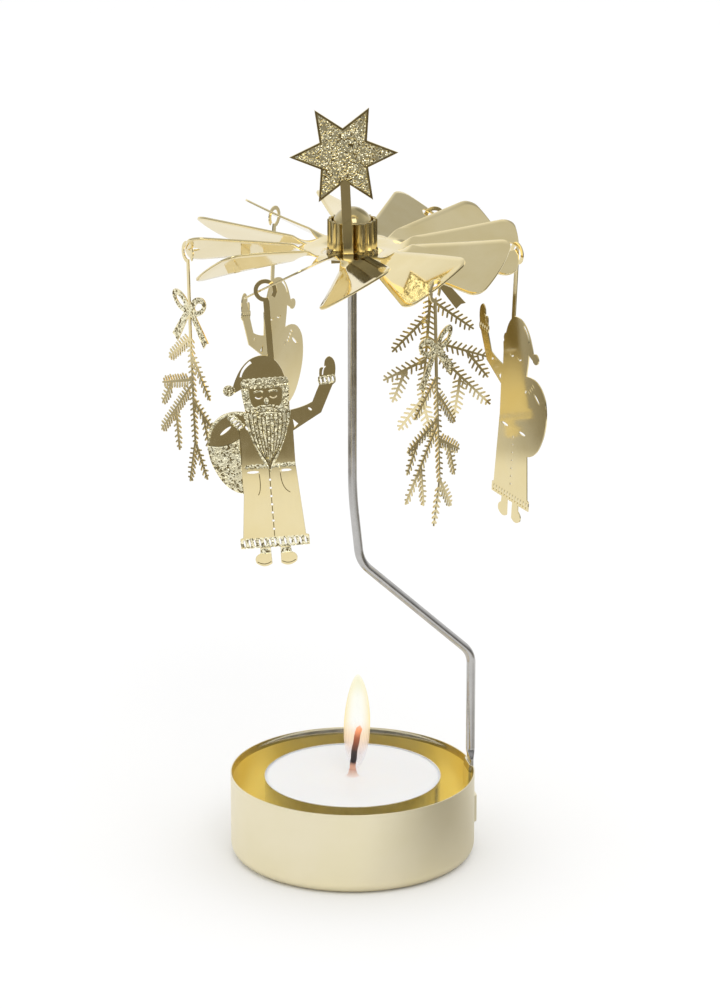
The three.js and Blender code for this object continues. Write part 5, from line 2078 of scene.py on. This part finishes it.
@dataclass
class Studio:
    """Pale floor, soft light from above and all round, and the photograph's camera.

    In gloss the floor shows painted shade and the sky has tones of its own. Spans on the floor are
    in millimetres across it; spans of the sky and of the floor's back are parts of a unit vector.
    """

    distance: float = 930.0
    height: float = 380.59
    side: float = 1.577
    azimuth_deg: float = 12.0
    pitch_deg: float = 18.044
    focal_px: float = 4676.1
    sensor: float = 36.0
    clip: Span = (10.0, 50000.0)
    floor_size: float = 6000.0
    floor_level: float = -0.05
    floor_colour: Colour = (0.95, 0.95, 0.95)
    floor_rough: float = 0.9
    floor_specular: float = 0.1
    paper_scale: float = 900.0
    paper_shade: float = 0.99
    # Painted shade: the floor's colour in gloss, far from the object, to its right and in a painted
    # shadow
    painted_shade_colour: Colour = (0.20, 0.178, 0.132)
    dark_from: Span = (319.0, 338.0)
    left_draw: float = 80.0
    left_drawn: Span = (-170.0, -100.0)
    right_draw: float = 44.0
    right_drawn: Span = (4.0, 22.0)
    behind: Span = (0.47, 0.76)
    behind_dark: float = 0.45
    behind_from: Span = (0.45, 0.50)
    left_end: Span = (-378.0, -338.0)
    right_dark: float = 0.92
    right_from: Span = (215.0, 285.0)
    # Painted shadow of the object on the floor, seen only in gloss
    shade_place: Triple = (75.0, -15.0, 0.0)
    shade: Span = (0.8, 0.1)
    shade_reach: Span = (15.6, 78.0)
    zenith: float = 0.66
    zenith_from: Span = (0.55, 0.85)
    side_sky: float = 1.0
    front_sky: float = 0.55
    front_span: Span = (-0.3, 0.5)
    horizon: float = 0.16
    horizon_span: Span = (0.2, 0.6)
    horizon_top: Span = (0.10, 0.36)
    dim_aim: Triple = (0.43, 0.72, 0.54)
    dim_sky: float = 0.5
    dim_span: Span = (0.91, 0.97)
    deep_sky: float = 1.75
    deep_from: Span = (0.3, 0.55)
    deep_bounce: Span = (1.0, 2.0)
    room: float = 1.05
    box_size: float = 450.0
    box_power: float = 1.4
    box_place: Triple = (50.0, -750.0, 950.0)
    box_aim: Triple = (0.0, 0.0, 80.0)
    bounces: int = 12
    gloss_bounces: int = 8
    clear_bounces: int = 32

    def camera(self) -> None:
        """Sets the camera where the photograph was taken from."""
        data = bpy.data.cameras.new("photo_camera")
        data.sensor_width = self.sensor
        data.lens = self.focal_px / max(IMAGE_SIZE) * self.sensor
        data.clip_start, data.clip_end = metres(self.clip)
        cam = bpy.data.objects.new("photo_camera", data)
        bpy.context.scene.collection.objects.link(cam)
        turn, pitch = math.radians(-self.azimuth_deg), math.radians(self.pitch_deg)
        place = turn_flat(np.array([self.side, -self.distance]), turn)
        ahead = turn_flat(np.array([0.0, math.cos(pitch)]), turn)
        cam.location = Vector((*place, self.height)) * MM
        cam.rotation_mode = "QUATERNION"
        cam.rotation_quaternion = Vector((*ahead, -math.sin(pitch))).to_track_quat("-Z", "Y")
        bpy.context.scene.camera = cam

    def facing(self, tree: Tree, place: Socket) -> Socket:
        """A place turned so that the photograph's camera looks along +Y."""
        turn = (0.0, 0.0, math.radians(self.azimuth_deg))
        return tree.add("ShaderNodeMapping", Vector=place, Rotation=turn).outputs["Vector"]

    def painted_reflection_shade(self, tree: Tree) -> Socket:
        """Painted shade of the floor in gloss: far from the object, to its right and in its painted
        shadow.

        Args:
            tree: Tree of the floor's material.

        Returns:
            Socket of the painted shade, 0 to 1.
        """
        place = self.facing(tree, tree.place())
        across = tree.split(place)[0]
        around = tree.split(tree.vector("NORMALIZE", place))[1]
        left = tree.spread(across, self.left_draw * MM, 0.0, *metres(self.left_drawn))
        right = tree.spread(across, 0.0, self.right_draw * MM, *metres(self.right_drawn))
        reach = tree.vector("LENGTH", place, result="Value")
        reach = tree.work("ADD", reach, tree.work("ADD", left, right))
        far = tree.spread(reach, 0.0, 1.0, *metres(self.dark_from))
        back = tree.spread(around, 1.0, self.behind_dark, *self.behind_from)
        far = tree.work("MULTIPLY", far, back)
        far = tree.work("MULTIPLY", far, tree.spread(across, 0.0, 1.0, *metres(self.left_end)))
        side = tree.spread(across, 0.0, self.right_dark, *metres(self.right_from))
        front = tree.spread(around, 1.0, 0.0, *self.behind)
        dim = tree.work("MULTIPLY", tree.work("MAXIMUM", far, side), front)
        gap = tree.vector("DISTANCE", place, metres(self.shade_place), result="Value")
        near = tree.spread(gap, *self.shade, *metres(self.shade_reach))
        return tree.work("MAXIMUM", dim, near)

    def floor(self) -> None:
        """A pale floor; in gloss, painted shade darkens it to a dark room away from the object."""
        share = np.linspace(-0.5, 0.5, 9) * self.floor_size
        x, y = np.meshgrid(share, share)
        sheet = Surface.grid(np.stack([x, y, np.full(x.shape, self.floor_level)], axis=-1))
        material, tree, shader = new_material("pale_floor")
        fibre = tree.noise("paper", tree.place(), self.paper_scale, detail=3.0)
        low = tuple(self.paper_shade * c for c in self.floor_colour)
        colour = tree.blend(fibre, low, self.floor_colour)
        tree.fill(shader, Base_Color=colour, Roughness=self.floor_rough)
        tree.fill(shader, Specular_IOR_Level=self.floor_specular)
        # Painted shade: in gloss the floor turns to a dark colour far off, to the right and in a
        # painted shadow
        mirrored = tree.add("ShaderNodeLightPath").outputs["Is Glossy Ray"]
        gloss = tree.work("MULTIPLY", self.painted_reflection_shade(tree), mirrored)
        dark = tree.add("ShaderNodeBsdfDiffuse", Color=self.painted_shade_colour)
        sides = (gloss, shader.outputs["BSDF"], dark.outputs["BSDF"])
        mix = tree.feed_row(tree.add("ShaderNodeMixShader"), sides)
        end = material.node_tree.nodes["Material Output"]
        tree.fill(end, Surface=mix.outputs["Shader"])
        sheet.write("floor", [material], closed=False)

    def world(self) -> None:
        """Soft light from all round; in gloss, a calm ceiling, bright sides and a low dark band."""
        world = bpy.data.worlds.new("soft_room")
        world.use_nodes = True
        bpy.context.scene.world = world
        tree = Tree(world.node_tree)
        aim = self.facing(tree, tree.add("ShaderNodeTexCoord").outputs["Generated"])
        _, ahead, up = tree.split(aim)
        low = tree.spread(ahead, self.horizon, self.side_sky, *self.horizon_span)
        high = tree.spread(ahead, self.front_sky, self.side_sky, *self.front_span)
        sides = tree.between(tree.spread(up, 0.0, 1.0, *self.horizon_top), low, high)
        sky = tree.between(tree.spread(up, 0.0, 1.0, *self.zenith_from), sides, self.zenith)
        toward = tree.vector("DOT_PRODUCT", aim, self.dim_aim, result="Value")
        sky = tree.work("MULTIPLY", sky, tree.spread(toward, 1.0, self.dim_sky, *self.dim_span))
        path = tree.add("ShaderNodeLightPath").outputs
        later = tree.spread(path["Glossy Depth"], 0.0, 1.0, *self.deep_bounce)
        deep = tree.work("MULTIPLY", later, tree.spread(up, 0.0, 1.0, *self.deep_from))
        gloss = tree.between(deep, sky, self.deep_sky)
        strength = tree.between(path["Is Glossy Ray"], self.room, gloss)
        lamp = world.node_tree.nodes["Background"]
        tree.fill(lamp, Color=(1.0, 1.0, 1.0), Strength=strength)

    def lights(self) -> None:
        """One soft box above the front, for gentle form and shadow."""
        data = bpy.data.lights.new("soft_box", "AREA")
        data.shape, data.energy = "RECTANGLE", self.box_power
        data.size = data.size_y = self.box_size * MM
        lamp = bpy.data.objects.new("soft_box", data)
        bpy.context.scene.collection.objects.link(lamp)
        lamp.location = metres(self.box_place)
        lamp.rotation_mode = "QUATERNION"
        ray = Vector(metres(self.box_aim)) - lamp.location
        lamp.rotation_quaternion = ray.to_track_quat("-Z", "Y")

    def build(self) -> None:
        """Sets up the whole stage."""
        self.camera()
        self.floor()
        self.world()
        self.lights()
        scene = bpy.context.scene
        scene.view_settings.view_transform = "Standard"
        scene.view_settings.look = "None"
        scene.cycles.use_denoising = True
        scene.cycles.max_bounces = self.bounces
        scene.cycles.glossy_bounces = self.gloss_bounces
        scene.cycles.transparent_max_bounces = self.clear_bounces


def main() -> None:
    """Builds every piece, sets the stage and logs the pieces' face counts."""
    logging.basicConfig(level=logging.INFO, format="%(name)s %(message)s")
    for part in (Tray, WireStand, Tealight, VaneWheel, Hub, Star, Figure, Sprig, Studio):
        part().build()


if __name__ == "__main__":
    main()
